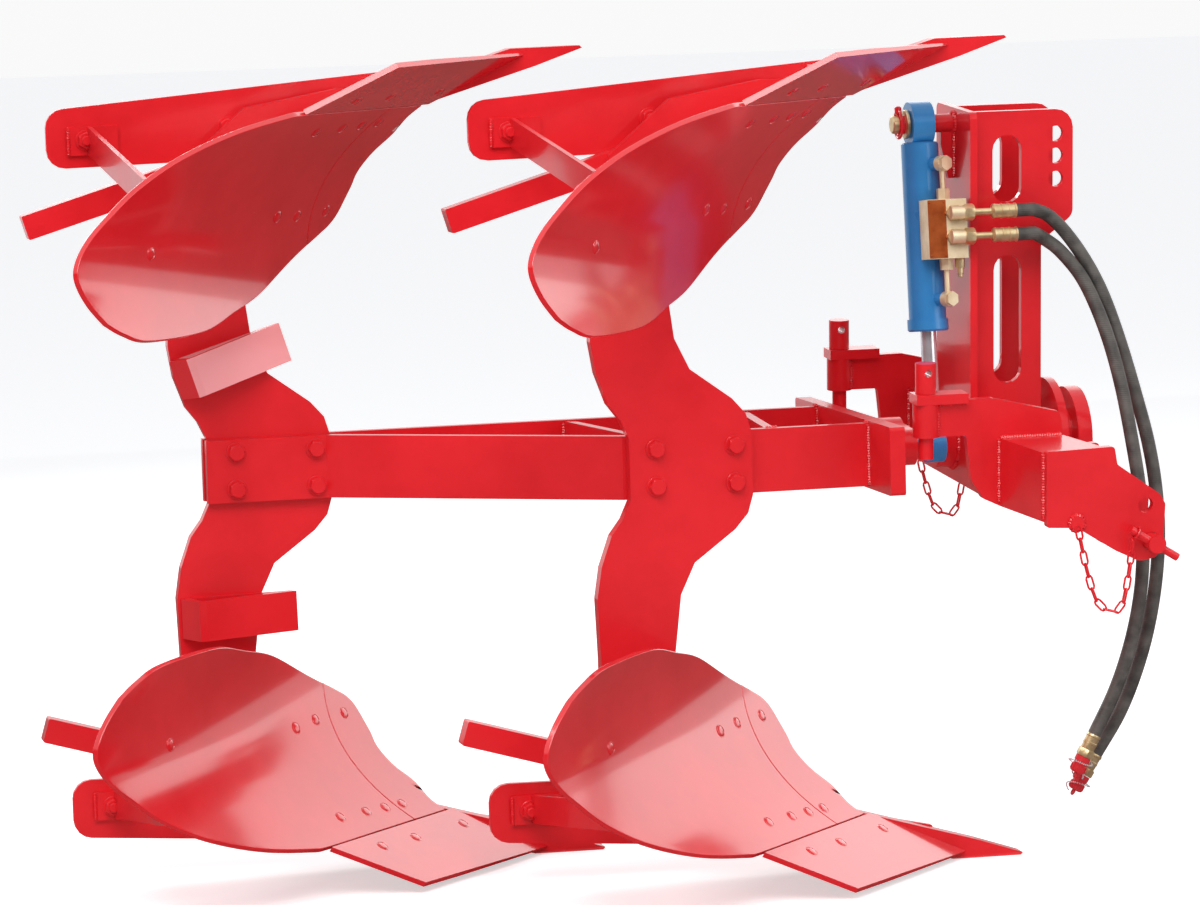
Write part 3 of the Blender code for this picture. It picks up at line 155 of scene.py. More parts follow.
def set_down(shape, name, material):
    """Turns a bmesh into an object of one material."""
    mesh = bpy.data.meshes.new(name)
    shape.to_mesh(mesh)
    shape.free()
    mesh.materials.append(material)
    made = bpy.data.objects.new(name, mesh)
    bpy.context.scene.collection.objects.link(made)
    return made


def flat_sheets(*sheets):
    """A bmesh of flat faces, each from its corners."""
    shape = bmesh.new()
    for corners in sheets:
        shape.faces.new([shape.verts.new(corner) for corner in corners])
    return shape


floor_paint, tree, shader = new_material(
    "studio_pale", {"Base Color": FLOOR_COLOUR, "Roughness": 0.9, "Specular IOR Level": 0.1})
glow = new_node(tree, "Emission", {"Color": WHITE})
seen = new_node(tree, "Math", {1: GLOW}, "MULTIPLY")
joined = new_node(tree, "AddShader")
join(tree,
     (shown_to(tree), seen.inputs[0]),
     (seen.outputs[0], glow.inputs["Strength"]),
     (shader.outputs[0], joined.inputs[0]),
     (glow.outputs[0], joined.inputs[1]),
     (joined.outputs[0], tree.nodes["Material Output"].inputs["Surface"]))
studio = set_down(flat_sheets([(x * STUDIO_HALF, y * STUDIO_HALF, 0)
                               for x, y in ((-1, -1), (1, -1), (1, 1), (-1, 1))]),
                  "studio_floor", floor_paint)

flag_cloth, _, _ = new_material("flag_cloth", {"Base Color": FLAG_TONE, "Roughness": 0.95})
flag = set_down(flat_sheets(*FLAG_SIDES), "studio_flag", flag_cloth)
flag.visible_camera = False
flag.visible_diffuse = False
flag.visible_shadow = False

for name, place, target, width, height, power, matt in LIGHTS:
    lamp = bpy.data.lights.new("lamp_" + name, "AREA")
    lamp.shape = "RECTANGLE"
    lamp.size = width
    lamp.size_y = height
    lamp.energy = power
    holder = bpy.data.objects.new("lamp_" + name, lamp)
    bpy.context.scene.collection.objects.link(holder)
    holder.location = place
    holder.rotation_euler = (Vector(target) - Vector(place)).to_track_quat("-Z", "Y").to_euler()
    holder.visible_camera = False
    holder.visible_diffuse = matt

world = bpy.data.worlds.new("studio_world")
bpy.context.scene.world = world
world.use_nodes = True
air = world.node_tree
fill(air.nodes["Background"], {"Color": AIR_COLOUR, "Strength": AIR})
white = new_node(air, "Background", {"Color": WHITE, "Strength": SURROUND})
mixed = new_node(air, "MixShader")
join(air,
     (shown_to(air), mixed.inputs[0]),
     (air.nodes["Background"].outputs[0], mixed.inputs[1]),
     (white.outputs[0], mixed.inputs[2]),
     (mixed.outputs[0], air.nodes["World Output"].inputs["Surface"]))
bpy.context.scene.view_settings.view_transform = "Standard"


# Hydraulic hoses: two rubber pressure hoses with a wrapped cover. They leave their ferrules level,
# arch over the front of the mast and hang down beside the link arm.
HOSE_RADIUS = 0.011
HOSE_STRAIGHT = 0.030
HOSE_SEAT = 0.0008
HOSE_STEPS = 86
CURVE_STEPS = 12
HOSE_ROUTES = {
    "upper": ((0.728, -0.118, 0.370), (0.756, -0.122, 0.341), (0.787, -0.128, 0.294),
              (0.812, -0.138, 0.239), (0.834, -0.150, 0.167), (0.854, -0.165, 0.082),
              (0.871, -0.180, -0.004), (0.879, -0.192, -0.086), (0.878, -0.200, -0.167),
              (0.866, -0.205, -0.256), (0.843, -0.208, -0.344), (0.807, -0.208, -0.432),
              (0.760, -0.206, -0.507)),
    "lower": ((0.720, -0.122, 0.332), (0.743, -0.128, 0.313), (0.773, -0.140, 0.273),
              (0.793, -0.156, 0.224), (0.810, -0.175, 0.161), (0.822, -0.195, 0.089),
              (0.830, -0.215, 0.009), (0.836, -0.232, -0.071), (0.836, -0.244, -0.151),
              (0.829, -0.250, -0.231), (0.811, -0.252, -0.312), (0.783, -0.250, -0.392),
              (0.745, -0.246, -0.468)),
}


def smooth_line(points, steps):
    """Points spaced evenly along a smooth curve through the given ones."""
    ends = [2 * points[0] - points[1]] + list(points) + [2 * points[-1] - points[-2]]
    fine = []
    for a, b, c, d in zip(ends, ends[1:], ends[2:], ends[3:]):
        for step in range(CURVE_STEPS):
            t = step / CURVE_STEPS
            fine.append(0.5 * (2 * b + (c - a) * t + (2 * a - 5 * b + 4 * c - d) * t * t
                               + (3 * b - a - 3 * c + d) * t ** 3))
    fine.append(points[-1])
    lengths = [0.0]
    for first, second in zip(fine, fine[1:]):
        lengths.append(lengths[-1] + (second - first).length)
    result = []
    index = 0
    for step in range(steps + 1):
        want = lengths[-1] * step / steps
        while index < len(lengths) - 2 and lengths[index + 1] < want:
            index += 1
        share = (want - lengths[index]) / (lengths[index + 1] - lengths[index])
        result.append(fine[index].lerp(fine[index + 1], share))
    return result


rubber, tree, shader = new_material("hose_rubber_wrapped", {"Specular IOR Level": 0.45})
where = new_node(tree, "TexCoord")
dusty = new_node(tree, "TexNoise", {"Scale": 38, "Detail": 6})
tone = new_node(tree, "ValToRGB")
for element, position, colour in zip(tone.color_ramp.elements, (0.35, 0.75),
                                     ((0.045, 0.041, 0.037, 1), (0.125, 0.112, 0.098, 1))):
    element.position = position
    element.color = colour
weave = new_node(tree, "TexWave", {"Scale": 95, "Distortion": 1.5, "Detail": 2, "Detail Scale": 3})
weave.bands_direction = "Z"
bump = new_node(tree, "Bump", {"Strength": 0.35, "Distance": 0.0006})
gloss = new_node(tree, "MapRange", {"To Min": 0.42, "To Max": 0.70})
join(tree,
     (where.outputs["Object"], dusty.inputs["Vector"]),
     (where.outputs["Object"], weave.inputs["Vector"]),
     (dusty.outputs["Fac"], tone.inputs["Fac"]),
     (tone.outputs["Color"], shader.inputs["Base Color"]),
     (dusty.outputs["Fac"], gloss.inputs["Value"]),
     (gloss.outputs[0], shader.inputs["Roughness"]),
     (weave.outputs["Fac"], bump.inputs["Height"]),
     (bump.outputs["Normal"], shader.inputs["Normal"]))

for name, route in HOSE_ROUTES.items():
    low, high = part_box("ferrule_" + name)
    start = Vector((high[0] + HOSE_SEAT, (low[1] + high[1]) / 2, (low[2] + high[2]) / 2))
    line = [start + Vector((HOSE_STRAIGHT, 0, 0))] + [AXIS + Vector(point) for point in route]
    line = [start] + smooth_line(line, HOSE_STEPS)
    data = bpy.data.curves.new("pressure_hose_" + name, "CURVE")
    data.dimensions = "3D"
    data.bevel_depth = HOSE_RADIUS
    data.bevel_resolution = 6
    data.use_fill_caps = True
    spline = data.splines.new("POLY")
    spline.points.add(len(line) - 1)
    for point, place in zip(spline.points, line):
        point.co = (*place, 1)
    spline.use_smooth = True
    data.materials.append(rubber)
    hose = bpy.data.objects.new("pressure_hose_" + name, data)
    bpy.context.scene.collection.objects.link(hose)
    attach(hose, "headstock")
    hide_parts("hose_" + name)


# Paint: gloss enamel sprayed over hot-rolled plate. The plate's mill scale shows as a faint ripple,
# the film has orange peel and some scratches, and dust lies on what faces up.
RED = (0.78, 0.016, 0.024, 1)
RED_DEEP = (0.64, 0.010, 0.016, 1)
RED_WORN = (0.86, 0.085, 0.095, 1)
# Pale pink of the painted highlight on one face of the upper bracket.
RED_PAINTED_SHEEN = (0.88, 0.34, 0.35, 1)
BLUE = (0.035, 0.27, 0.62, 1)
BLUE_DEEP = (0.022, 0.18, 0.46, 1)
BLUE_WORN = (0.15, 0.42, 0.72, 1)
RED_CAP = (0.42, 0.012, 0.020, 1)


def colour_mix(tree, values=None):
    """A node that mixes two colours."""
    made = tree.nodes.new("ShaderNodeMix")
    made.data_type = "RGBA"
    return fill(made, values or {})


film = bpy.data.node_groups.new("enamel_film", "ShaderNodeTree")
for name, value in (("Colour", RED), ("Deep colour", RED_DEEP), ("Worn colour", RED_WORN), ("Wear", 0.5),
                    ("Roughness low", 0.2), ("Roughness high", 0.45)):
    kind = "NodeSocketFloat" if isinstance(value, float) else "NodeSocketColor"
    film.interface.new_socket(name=name, in_out="INPUT", socket_type=kind).default_value = value
for name, kind in (("Colour", "NodeSocketColor"), ("Roughness", "NodeSocketFloat"),
                   ("Height", "NodeSocketFloat")):
    film.interface.new_socket(name=name, in_out="OUTPUT", socket_type=kind)
given = film.nodes.new("NodeGroupInput")
result = film.nodes.new("NodeGroupOutput")
place = new_node(film, "TexCoord")
broad = new_node(film, "TexNoise", {"Scale": 4.5, "Detail": 5, "Roughness": 0.6})
peel = new_node(film, "TexNoise", {"Scale": 340, "Detail": 2})
ripple = new_node(film, "TexNoise", {"Scale": 26, "Detail": 3})
stretch = new_node(film, "Mapping", {"Scale": (9, 60, 160), "Rotation": (0.3, 0.2, 0.1)})
scratch = new_node(film, "TexNoise", {"Scale": 1.6, "Detail": 8, "Roughness": 0.75})
scratch_mask = new_node(film, "MapRange", {"From Min": 0.66, "From Max": 0.74})
facing = new_node(film, "NewGeometry")
split = new_node(film, "SeparateXYZ")
upward = new_node(film, "MapRange", {"From Min": 0.55, "From Max": 1.0})
dust = new_node(film, "Math", operation="MULTIPLY")
worn = new_node(film, "Math", operation="MULTIPLY")
worn_all = new_node(film, "Math", operation="MAXIMUM")
dusty_share = new_node(film, "Math", {1: 0.22}, "MULTIPLY")
depth_range = new_node(film, "MapRange", {"From Min": 0.35, "From Max": 0.72})
shade = colour_mix(film)
wear_mix = colour_mix(film)
rough = new_node(film, "MapRange")
rough_more = new_node(film, "Math", {1: 0.25}, "MULTIPLY_ADD")
peel_part = new_node(film, "Math", {1: 0.10}, "MULTIPLY")
height = new_node(film, "Math", operation="ADD")
join(film,
     (place.outputs["Object"], broad.inputs["Vector"]),
     (place.outputs["Object"], peel.inputs["Vector"]),
     (place.outputs["Object"], ripple.inputs["Vector"]),
     (place.outputs["Object"], stretch.inputs["Vector"]),
     (stretch.outputs[0], scratch.inputs["Vector"]),
     (scratch.outputs["Fac"], scratch_mask.inputs["Value"]),
     (facing.outputs["Normal"], split.inputs[0]),
     (split.outputs["Z"], upward.inputs["Value"]),
     (upward.outputs[0], dust.inputs[0]),
     (broad.outputs["Fac"], dust.inputs[1]),
     (dust.outputs[0], dusty_share.inputs[0]),
     (scratch_mask.outputs[0], worn.inputs[0]),
     (given.outputs["Wear"], worn.inputs[1]),
     (worn.outputs[0], worn_all.inputs[0]),
     (dusty_share.outputs[0], worn_all.inputs[1]),
     (broad.outputs["Fac"], depth_range.inputs["Value"]),
     (depth_range.outputs[0], shade.inputs["Factor"]),
     (given.outputs["Deep colour"], shade.inputs["A"]),
     (given.outputs["Colour"], shade.inputs["B"]),
     (worn_all.outputs[0], wear_mix.inputs["Factor"]),
     (shade.outputs["Result"], wear_mix.inputs["A"]),
     (given.outputs["Worn colour"], wear_mix.inputs["B"]),
     (wear_mix.outputs["Result"], result.inputs["Colour"]),
     (broad.outputs["Fac"], rough.inputs["Value"]),
     (given.outputs["Roughness low"], rough.inputs["To Min"]),
     (given.outputs["Roughness high"], rough.inputs["To Max"]),
     (worn_all.outputs[0], rough_more.inputs[0]),
     (rough.outputs[0], rough_more.inputs[2]),
     (rough_more.outputs[0], result.inputs["Roughness"]),
     (peel.outputs["Fac"], peel_part.inputs[0]),
     (peel_part.outputs[0], height.inputs[0]),
     (ripple.outputs["Fac"], height.inputs[1]),
     (height.outputs[0], result.inputs["Height"]))


def enamel(name, colour, deep, worn_colour, wear, low, high, coat, sheen):
    """A gloss enamel over steel, in its own colour."""
    made, tree, shader = new_material(name, {
        "Coat Weight": coat, "Coat Roughness": 0.10, "Coat IOR": 1.5, "Specular IOR Level": sheen})
    group = tree.nodes.new("ShaderNodeGroup")
    group.node_tree = film
    fill(group, {"Colour": colour, "Deep colour": deep, "Worn colour": worn_colour, "Wear": wear,
                 "Roughness low": low, "Roughness high": high})
    relief = new_node(tree, "Bump", {"Strength": 0.22, "Distance": 0.0010})
    join(tree,
         (group.outputs["Colour"], shader.inputs["Base Color"]),
         (group.outputs["Roughness"], shader.inputs["Roughness"]),
         (group.outputs["Height"], relief.inputs["Height"]),
         (relief.outputs["Normal"], shader.inputs["Normal"]))
    return made


red_enamel = enamel("red_enamel", RED, RED_DEEP, RED_WORN, 0.35, 0.26, 0.42, 0.50, 0.20)
red_board = enamel("red_board_enamel", RED, RED_DEEP, RED_WORN, 0.45, 0.14, 0.26, 1.00, 0.40)
blue_enamel = enamel("blue_enamel", BLUE, BLUE_DEEP, BLUE_WORN, 0.25, 0.22, 0.36, 0.25, 0.40)
cap_red = enamel("dust_cap_red", RED_CAP, RED_DEEP, RED_WORN, 0.6, 0.40, 0.60, 0.0, 0.40)

# On the upper bracket the face towards the furrow is painted pale pink, a painted highlight that stands for a
# sheen of light on it.
red_painted_sheen = enamel("red_painted_sheen_enamel", RED, RED_DEEP, RED_WORN, 0.35, 0.26, 0.42, 0.50, 0.20)
tree = red_painted_sheen.node_tree
base_colour = tree.nodes["Principled BSDF"].inputs["Base Color"]
outward = new_node(tree, "TexCoord")
direction = new_node(tree, "SeparateXYZ")
sheen_share = new_node(tree, "MapRange", {"From Min": -0.80, "From Max": -0.97})
sheen_mix = colour_mix(tree, {"B": RED_PAINTED_SHEEN})
join(tree,
     (outward.outputs["Normal"], direction.inputs[0]),
     (direction.outputs["Y"], sheen_share.inputs["Value"]),
     (sheen_share.outputs[0], sheen_mix.inputs["Factor"]),
     (base_colour.links[0].from_socket, sheen_mix.inputs["A"]),
     (sheen_mix.outputs["Result"], base_colour))


# Metal: hard chrome on the rod, yellow zinc on the fittings and copper on the valve's plate, all
# with a fine grain and a little tarnish.
def metal(name, colour, dull, low, high, scale, grain, metallic=1.0):
    """A bare or plated metal with a fine grain and tarnish."""
    made, tree, shader = new_material(name, {"Metallic": metallic})
    where = new_node(tree, "TexCoord")
    patches = new_node(tree, "TexNoise", {"Scale": scale, "Detail": 5})
    spread = new_node(tree, "MapRange", {"From Min": 0.38, "From Max": 0.70})
    tint = colour_mix(tree, {"A": colour, "B": dull})
    gloss = new_node(tree, "MapRange", {"To Min": low, "To Max": high})
    surface = new_node(tree, "TexNoise", {"Scale": grain, "Detail": 3})
    relief = new_node(tree, "Bump", {"Strength": 0.25, "Distance": 0.0003})
    join(tree,
         (where.outputs["Object"], patches.inputs["Vector"]),
         (where.outputs["Object"], surface.inputs["Vector"]),
         (patches.outputs["Fac"], spread.inputs["Value"]),
         (spread.outputs[0], tint.inputs["Factor"]),
         (tint.outputs["Result"], shader.inputs["Base Color"]),
         (patches.outputs["Fac"], gloss.inputs["Value"]),
         (gloss.outputs[0], shader.inputs["Roughness"]),
         (surface.outputs["Fac"], relief.inputs["Height"]),
         (relief.outputs["Normal"], shader.inputs["Normal"]))
    return made


chrome = metal("rod_chrome", (0.80, 0.81, 0.83, 1), (0.62, 0.63, 0.66, 1), 0.07, 0.20, 30, 700, 0.60)
zinc = metal("yellow_zinc_plate", (0.78, 0.62, 0.36, 1), (0.55, 0.40, 0.20, 1), 0.22, 0.42, 60, 500, 0.75)
pale_zinc = metal("pale_zinc_block", (0.88, 0.74, 0.50, 1), (0.72, 0.56, 0.34, 1), 0.34, 0.52, 40, 300, 0.50)
copper = metal("copper_plate", (0.52, 0.13, 0.035, 1), (0.36, 0.075, 0.02, 1), 0.34, 0.52, 50, 400)


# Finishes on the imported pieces: nearly everything is sprayed red, with a glossier coat on the boards.
# The cylinder's barrel and eye are blue, its rod is chromed, and the hydraulic fittings are plated.
FINISHES = (
    (("mouldboard", "shin", "share"), red_board),
    (("cylinder_barrel", "rod_eye"), blue_enamel),
    (("cylinder_rod",), chrome),
    (("valve_block",), pale_zinc),
    (("ferrule",), zinc),
    (("coupler",), cap_red),
    # The upper bracket's red carries a painted highlight on its face towards the furrow.
    (("bracket_upper",), red_painted_sheen),
)
for node_name, node in nodes.items():
    finish = red_enamel
    for stems, choice in FINISHES:
        if node_name.startswith(stems):
            finish = choice
    node.data.materials.clear()
    node.data.materials.append(finish)


# Soil-side bolts: countersunk plough bolts ground flush with the board, shin and share, and painted
# over, so each shows as a shallow ring with a faint dome.
GUIDE = ((0.571, -0.652), (0.328, -0.559), (0.158, -0.428), (0.183, -0.250))
ANGLES = ((-0.652, 45.5), (-0.555, 47.0), (-0.400, 50.0), (-0.250, 54.0))
GUIDE_Y = -0.155
REAR_SHIFT = Vector((-0.628, 0.302, 0))
PLOUGH_BOLTS = (
    # piece, distance from the guide, height
    ("share", 0.314, -0.597), ("share", 0.223, -0.599), ("share", 0.085, -0.601),
    ("mouldboard", 0.283, -0.548), ("mouldboard", 0.214, -0.551), ("mouldboard", 0.163, -0.553),
    ("shin", 0.117, -0.555),
    ("mouldboard", 0.162, -0.413), ("mouldboard", 0.096, -0.410), ("shin", 0.006, -0.412),
    ("mouldboard", 0.520, -0.380),
)
GUIDE_START = -0.15
GUIDE_END = 1.15
HALVINGS = 40
BOLT_RADIUS = 0.0098
BOLT_STEPS = 28
BOLT_SHARP = 50
PIECE_SHARP = 35
SLOPE_STEP = 0.002
LOOK_FROM = 0.03
BODIES = [(side + end, side == "upper_", REAR_SHIFT if end == "rear" else Vector())
          for side in ("lower_", "upper_") for end in ("front", "rear")]
BOLT_PROFILE = (
    # radius share, height
    (1.10, -0.0006), (1.06, 0.0005), (0.98, 0.0006), (0.92, -0.0002), (0.84, 0.0005), (0.45, 0.0010),
)


def guide(t, axis):
    """The guide curve's x or height at a share of its way."""
    s = 1 - t
    return (s ** 3 * GUIDE[0][axis] + 3 * s * s * t * GUIDE[1][axis]
            + 3 * s * t * t * GUIDE[2][axis] + t ** 3 * GUIDE[3][axis])


def guide_x(z):
    """The guide curve's x at a height, found by halving."""
    low = GUIDE_START
    high = GUIDE_END
    for _ in range(HALVINGS):
        t = (low + high) / 2
        if guide(t, 1) < z:
            low = t
        else:
            high = t
    return guide(t, 0)


def board_point(s, z):
    """A point of the lower front body's working surface, from the turnover axis."""
    angle = math.radians(ANGLES[0][1])
    for (z_low, low), (z_high, high) in zip(ANGLES, ANGLES[1:]):
        if z_low < z:
            angle = math.radians(low + (high - low) * (z - z_low) / (z_high - z_low))
    return Vector((guide_x(z) - s * math.cos(angle), GUIDE_Y - s * math.sin(angle), z))


def bridge(shape, before, after):
    """Faces between two rings of as many corners."""
    for k in range(len(before)):
        ahead_of = (k + 1) % len(before)
        shape.faces.new((before[k], before[ahead_of], after[ahead_of], after[k]))


def turned_rings(shape, rings, place, steps):
    """Rings of a turned form, closed at the last one, facing along the place's Z."""
    before = None
    for radius, rise in rings:
        ring = [shape.verts.new(place @ Vector((radius * math.cos(2 * math.pi * k / steps),
                                                radius * math.sin(2 * math.pi * k / steps), rise)))
                for k in range(steps)]
        if before:
            bridge(shape, before, ring)
        else:
            shape.faces.new(ring[::-1])
        before = ring
    shape.faces.new(before)


def seat(name, start, way):
    """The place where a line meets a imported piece, facing out of it, or None."""
    hit, point, normal, _ = nodes[name].ray_cast(start, way)
    if not hit:
        return None
    return Matrix.Translation(point) @ normal.to_track_quat("Z", "Y").to_matrix().to_4x4()


def flush_bolt(shape, place):
    """A countersunk bolt's ring and dome."""
    turned_rings(shape, [(BOLT_RADIUS * share, lift) for share, lift in BOLT_PROFILE], place, BOLT_STEPS)


def finish_piece(shape, name, paint, body, sharp=PIECE_SHARP):
    """Turns a bmesh into a smooth piece with its finish, on its body."""
    made = set_down(shape, name, paint)
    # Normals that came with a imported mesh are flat, so they go before it is shaded round.
    if "custom_normal" in made.data.attributes:
        made.data.attributes.remove(made.data.attributes["custom_normal"])
    made.data.shade_smooth()
    made.data.set_sharp_from_angle(angle=math.radians(sharp))
    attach(made, body)
    return made


for ending, upper, shift in BODIES:
    shape = bmesh.new()
    for piece, s, z in PLOUGH_BOLTS:
        touch = board_point(s, z)
        side = board_point(s + SLOPE_STEP, z) - board_point(s - SLOPE_STEP, z)
        rise = board_point(s, z + SLOPE_STEP) - board_point(s, z - SLOPE_STEP)
        out = rise.cross(side).normalized()
        if upper:
            touch.z = -touch.z
            out.z = -out.z
        touch += AXIS + shift
        place = seat(piece + "_" + ending, touch + out * LOOK_FROM, -out)
        if place is not None:
            flush_bolt(shape, place)
    finish_piece(shape, "plough_bolts_" + ending, red_board, "plough_frame", BOLT_SHARP)


# Frame bolts: hexagon heads on washers through beam plate and shank, four at each shank, with
# their nuts on the land side.
HEX_ACROSS = 0.024
HEX_HEIGHT = 0.010
WASHER_RADIUS = 0.0165
WASHER_HEIGHT = 0.003
STUB_PROFILE = ((0.0078, -0.0003), (0.0078, 0.0050), (0.0066, 0.0062))
STUB_STEPS = 20
HEX_STEPS = 24
SIDE_STEPS = HEX_STEPS // 6
SHANK_X = (-0.583, -0.452, 0.045, 0.175)
SHANK_Z = (0.030, -0.030)
LOOK_SIDE = 0.6
SHANK_SIDES = (
    # group, its places along the beam, piece on the near side, piece on the far side, far look's y
    ("rear", SHANK_X[:2], "beam_right", "beam_left", LOOK_SIDE),
    ("front", SHANK_X[2:], "shank_front", "beam_right", 0.0),
)
X_WAY = Vector((1, 0, 0))
Y_WAY = Vector((0, 1, 0))
Z_WAY = Vector((0, 0, 1))


def hex_reach(k):
    """How far out a hexagon's side lies on the k-th of its steps, as a share of its corner."""
    half_side = math.pi / 6
    return math.cos(half_side) / math.cos(2 * math.pi / HEX_STEPS * (k % SIDE_STEPS) - half_side)


def hex_bolt(shape, place, stub, turn):
    """A washer, a chamfered hexagon and, on a nut, the thread's end."""
    turned_rings(shape, [(WASHER_RADIUS, -0.0004), (WASHER_RADIUS, WASHER_HEIGHT - 0.0005),
                         (WASHER_RADIUS - 0.0006, WASHER_HEIGHT)], place, BOLT_STEPS)
    corner = HEX_ACROSS / math.sqrt(3)
    top = WASHER_HEIGHT + HEX_HEIGHT
    before = None
    for reach, flats, rise in ((corner, True, WASHER_HEIGHT - 0.0003), (corner, True, top - 0.0022),
                               (0.985 * corner, True, top - 0.0012), (0.475 * HEX_ACROSS, False, top)):
        ring = []
        for k in range(HEX_STEPS):
            angle = turn + 2 * math.pi * k / HEX_STEPS
            out = reach * (hex_reach(k) if flats else 1)
            ring.append(shape.verts.new(place @ Vector((out * math.cos(angle), out * math.sin(angle), rise))))
        if before:
            bridge(shape, before, ring)
        else:
            shape.faces.new(ring[::-1])
        before = ring
    shape.faces.new(before)
    if stub:
        turned_rings(shape, [(radius, top + rise) for radius, rise in STUB_PROFILE], place, STUB_STEPS)


index = 0
for group, places, near, far, far_look in SHANK_SIDES:
    shape = bmesh.new()
    for x in places:
        for z in SHANK_Z:
            place = seat(near, AXIS + Vector((x, -LOOK_SIDE, z)), Y_WAY)
            if place is not None:
                hex_bolt(shape, place, False, 0.2 + 0.37 * index)
            place = seat(far, AXIS + Vector((x, far_look, z)), -Y_WAY)
            if place is not None:
                hex_bolt(shape, place, True, 0.5 + 0.29 * index)
            index += 1
    finish_piece(shape, "shank_bolts_" + group, red_enamel, "plough_frame")


# Round pieces: turned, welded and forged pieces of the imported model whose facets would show. Each is
# the same shape again, welded up and shaded round, with the same finish.
ROUND_NODES = (
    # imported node, body, slot
    ("cylinder_barrel", "barrel", "blue_paint"), ("rod_eye", "rod", "blue_paint"),
    ("cylinder_rod", "rod", "bright_steel"), ("turnover_shaft", "plough_frame", "bright_steel"),
    ("turnover_hub", "headstock", "dark_red_paint"), ("mast_back", "headstock", "red_paint"),
    ("stop_carrier_right", "headstock", "red_paint"), ("stop_carrier_left", "headstock", "red_paint"),
    ("stop_pin_right", "headstock", "bright_steel"), ("stop_pin_left", "headstock", "bright_steel"),
    ("link_pin_right", "headstock", "bright_steel"), ("link_pin_left", "headstock", "bright_steel"),
    ("link_chain_right", "headstock", "bright_steel"), ("link_chain_left", "headstock", "bright_steel"),
    ("valve_block", "barrel", "yellow_zinc"),
)
ROUND_LIMIT = 32
ROUND_MERGE = 0.00002

for name, body, slot_name in ROUND_NODES:
    shape = bmesh.new()
    shape.from_mesh(nodes[name].data)
    bmesh.ops.remove_doubles(shape, verts=shape.verts, dist=ROUND_MERGE)
    for edge in shape.edges:
        edge.smooth = True
    made = finish_piece(shape, name + "_round", nodes[name].data.materials[0], body, ROUND_LIMIT)
    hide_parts(name)


# Mouldboards and shins: 9 mm pressed steel, one smooth curved sheet each, with a small round on
# every edge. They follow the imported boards' outlines and are painted like the frame, glossier.
BOARD_THICKNESS = 0.009
BOARD_EDGE = 0.0014
JOINT_HALF = 0.0005
SHEET_MESH = 0.009
RIM_CLEAR = 0.7
SIDE_JOINT = ((0.150, -0.5775), (0.075, -0.450), (0.052, -0.410), (0.022, -0.358))
BOARD_WING = ((0.680, -0.443), (0.706, -0.412), (0.725, -0.378), (0.723, -0.353), (0.696, -0.317),
              (0.661, -0.285))
BOARD_LOWER = ((0.250, -0.5775), (0.400, -0.5775), (0.440, -0.5745), (0.528, -0.556), (0.601, -0.524),
               (0.647, -0.486), (0.680, -0.443))
BOARD_UPPER = ((0.156, -0.295), (0.263, -0.269), (0.376, -0.249), (0.552, -0.250), (0.619, -0.266),
               (0.661, -0.285))
SHIN_EDGE = ((0.055, -0.5775), (0.044, -0.560), (0.014, -0.532), (0.008, -0.503), (-0.006, -0.472),
             (-0.027, -0.446), (-0.039, -0.410), (-0.030, -0.388), (-0.002, -0.370))


def even_sheet(left, right, bottom, top, columns, rows):
    """Even triangles between four sides in the working surface's own plane, as points and faces."""
    sides = [smooth_line([Vector((s, z, 0)) for s, z in side], steps)
             for side, steps in ((bottom, columns), (right, rows), (top, columns), (left, rows))]
    rim = sides[0][:-1] + sides[1][:-1] + sides[2][:0:-1] + sides[3][:0:-1]
    near = KDTree(len(rim))
    for index, point in enumerate(rim):
        near.insert(point, index)
    near.balance()
    points = [point.to_2d() for point in rim]
    spread = [[point[axis] for point in rim] for axis in (0, 1)]
    rise = SHEET_MESH * math.sqrt(0.75)
    for row in range(int((max(spread[1]) - min(spread[1])) / rise)):
        z = min(spread[1]) + row * rise
        for step in range(int((max(spread[0]) - min(spread[0])) / SHEET_MESH)):
            s = min(spread[0]) + (step + row % 2 / 2) * SHEET_MESH
            if near.find((s, z, 0))[2] > SHEET_MESH * RIM_CLEAR:
                points.append(Vector((s, z)))
    edges = [(k, (k + 1) % len(rim)) for k in range(len(rim))]
    filled = delaunay_2d_cdt(points, edges, [], 1, 1e-6)
    return filled[0], filled[2]


joint_board = [(s + JOINT_HALF, z) for s, z in SIDE_JOINT]
joint_shin = [(s - JOINT_HALF, z) for s, z in SIDE_JOINT]
PLATES = (
    # stem, left, right, bottom, top, columns, rows
    ("mouldboard", joint_board, BOARD_WING, (joint_board[0],) + BOARD_LOWER,
     (joint_board[-1],) + BOARD_UPPER, 72, 44),
    ("shin", SHIN_EDGE, joint_shin, (SHIN_EDGE[0], (0.100, -0.5775), joint_shin[0]),
     (SHIN_EDGE[-1], joint_shin[-1]), 14, 44),
)
for stem, *sides in PLATES:
    places, cells = even_sheet(*sides)
    for ending, upper, shift in BODIES:
        name = stem + "_" + ending
        shape = bmesh.new()
        spots = [shape.verts.new(board_point(place.x, place.y)) for place in places]
        for cell in cells:
            shape.faces.new([spots[k] for k in cell])
        loose = [spot for spot in spots if not spot.link_faces]
        bmesh.ops.delete(shape, geom=loose, context="VERTS")
        if upper:
            bmesh.ops.transform(shape, matrix=Matrix.Diagonal((1, 1, -1, 1)), verts=shape.verts)
            bmesh.ops.reverse_faces(shape, faces=shape.faces)
        bmesh.ops.translate(shape, vec=AXIS + shift, verts=shape.verts)
        sheet = set_down(shape, name + "_sheet", red_board)
        sheet.data.shade_smooth()
        thick = sheet.modifiers.new("Thickness", "SOLIDIFY")
        thick.thickness = BOARD_THICKNESS
        thick.offset = 1
        rounding = sheet.modifiers.new("Edges", "BEVEL")
        rounding.width = BOARD_EDGE
        rounding.segments = 2
        rounding.limit_method = "ANGLE"
        rounding.angle_limit = math.radians(60)
        rounding.harden_normals = True
        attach(sheet, "plough_frame")
        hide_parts(name)


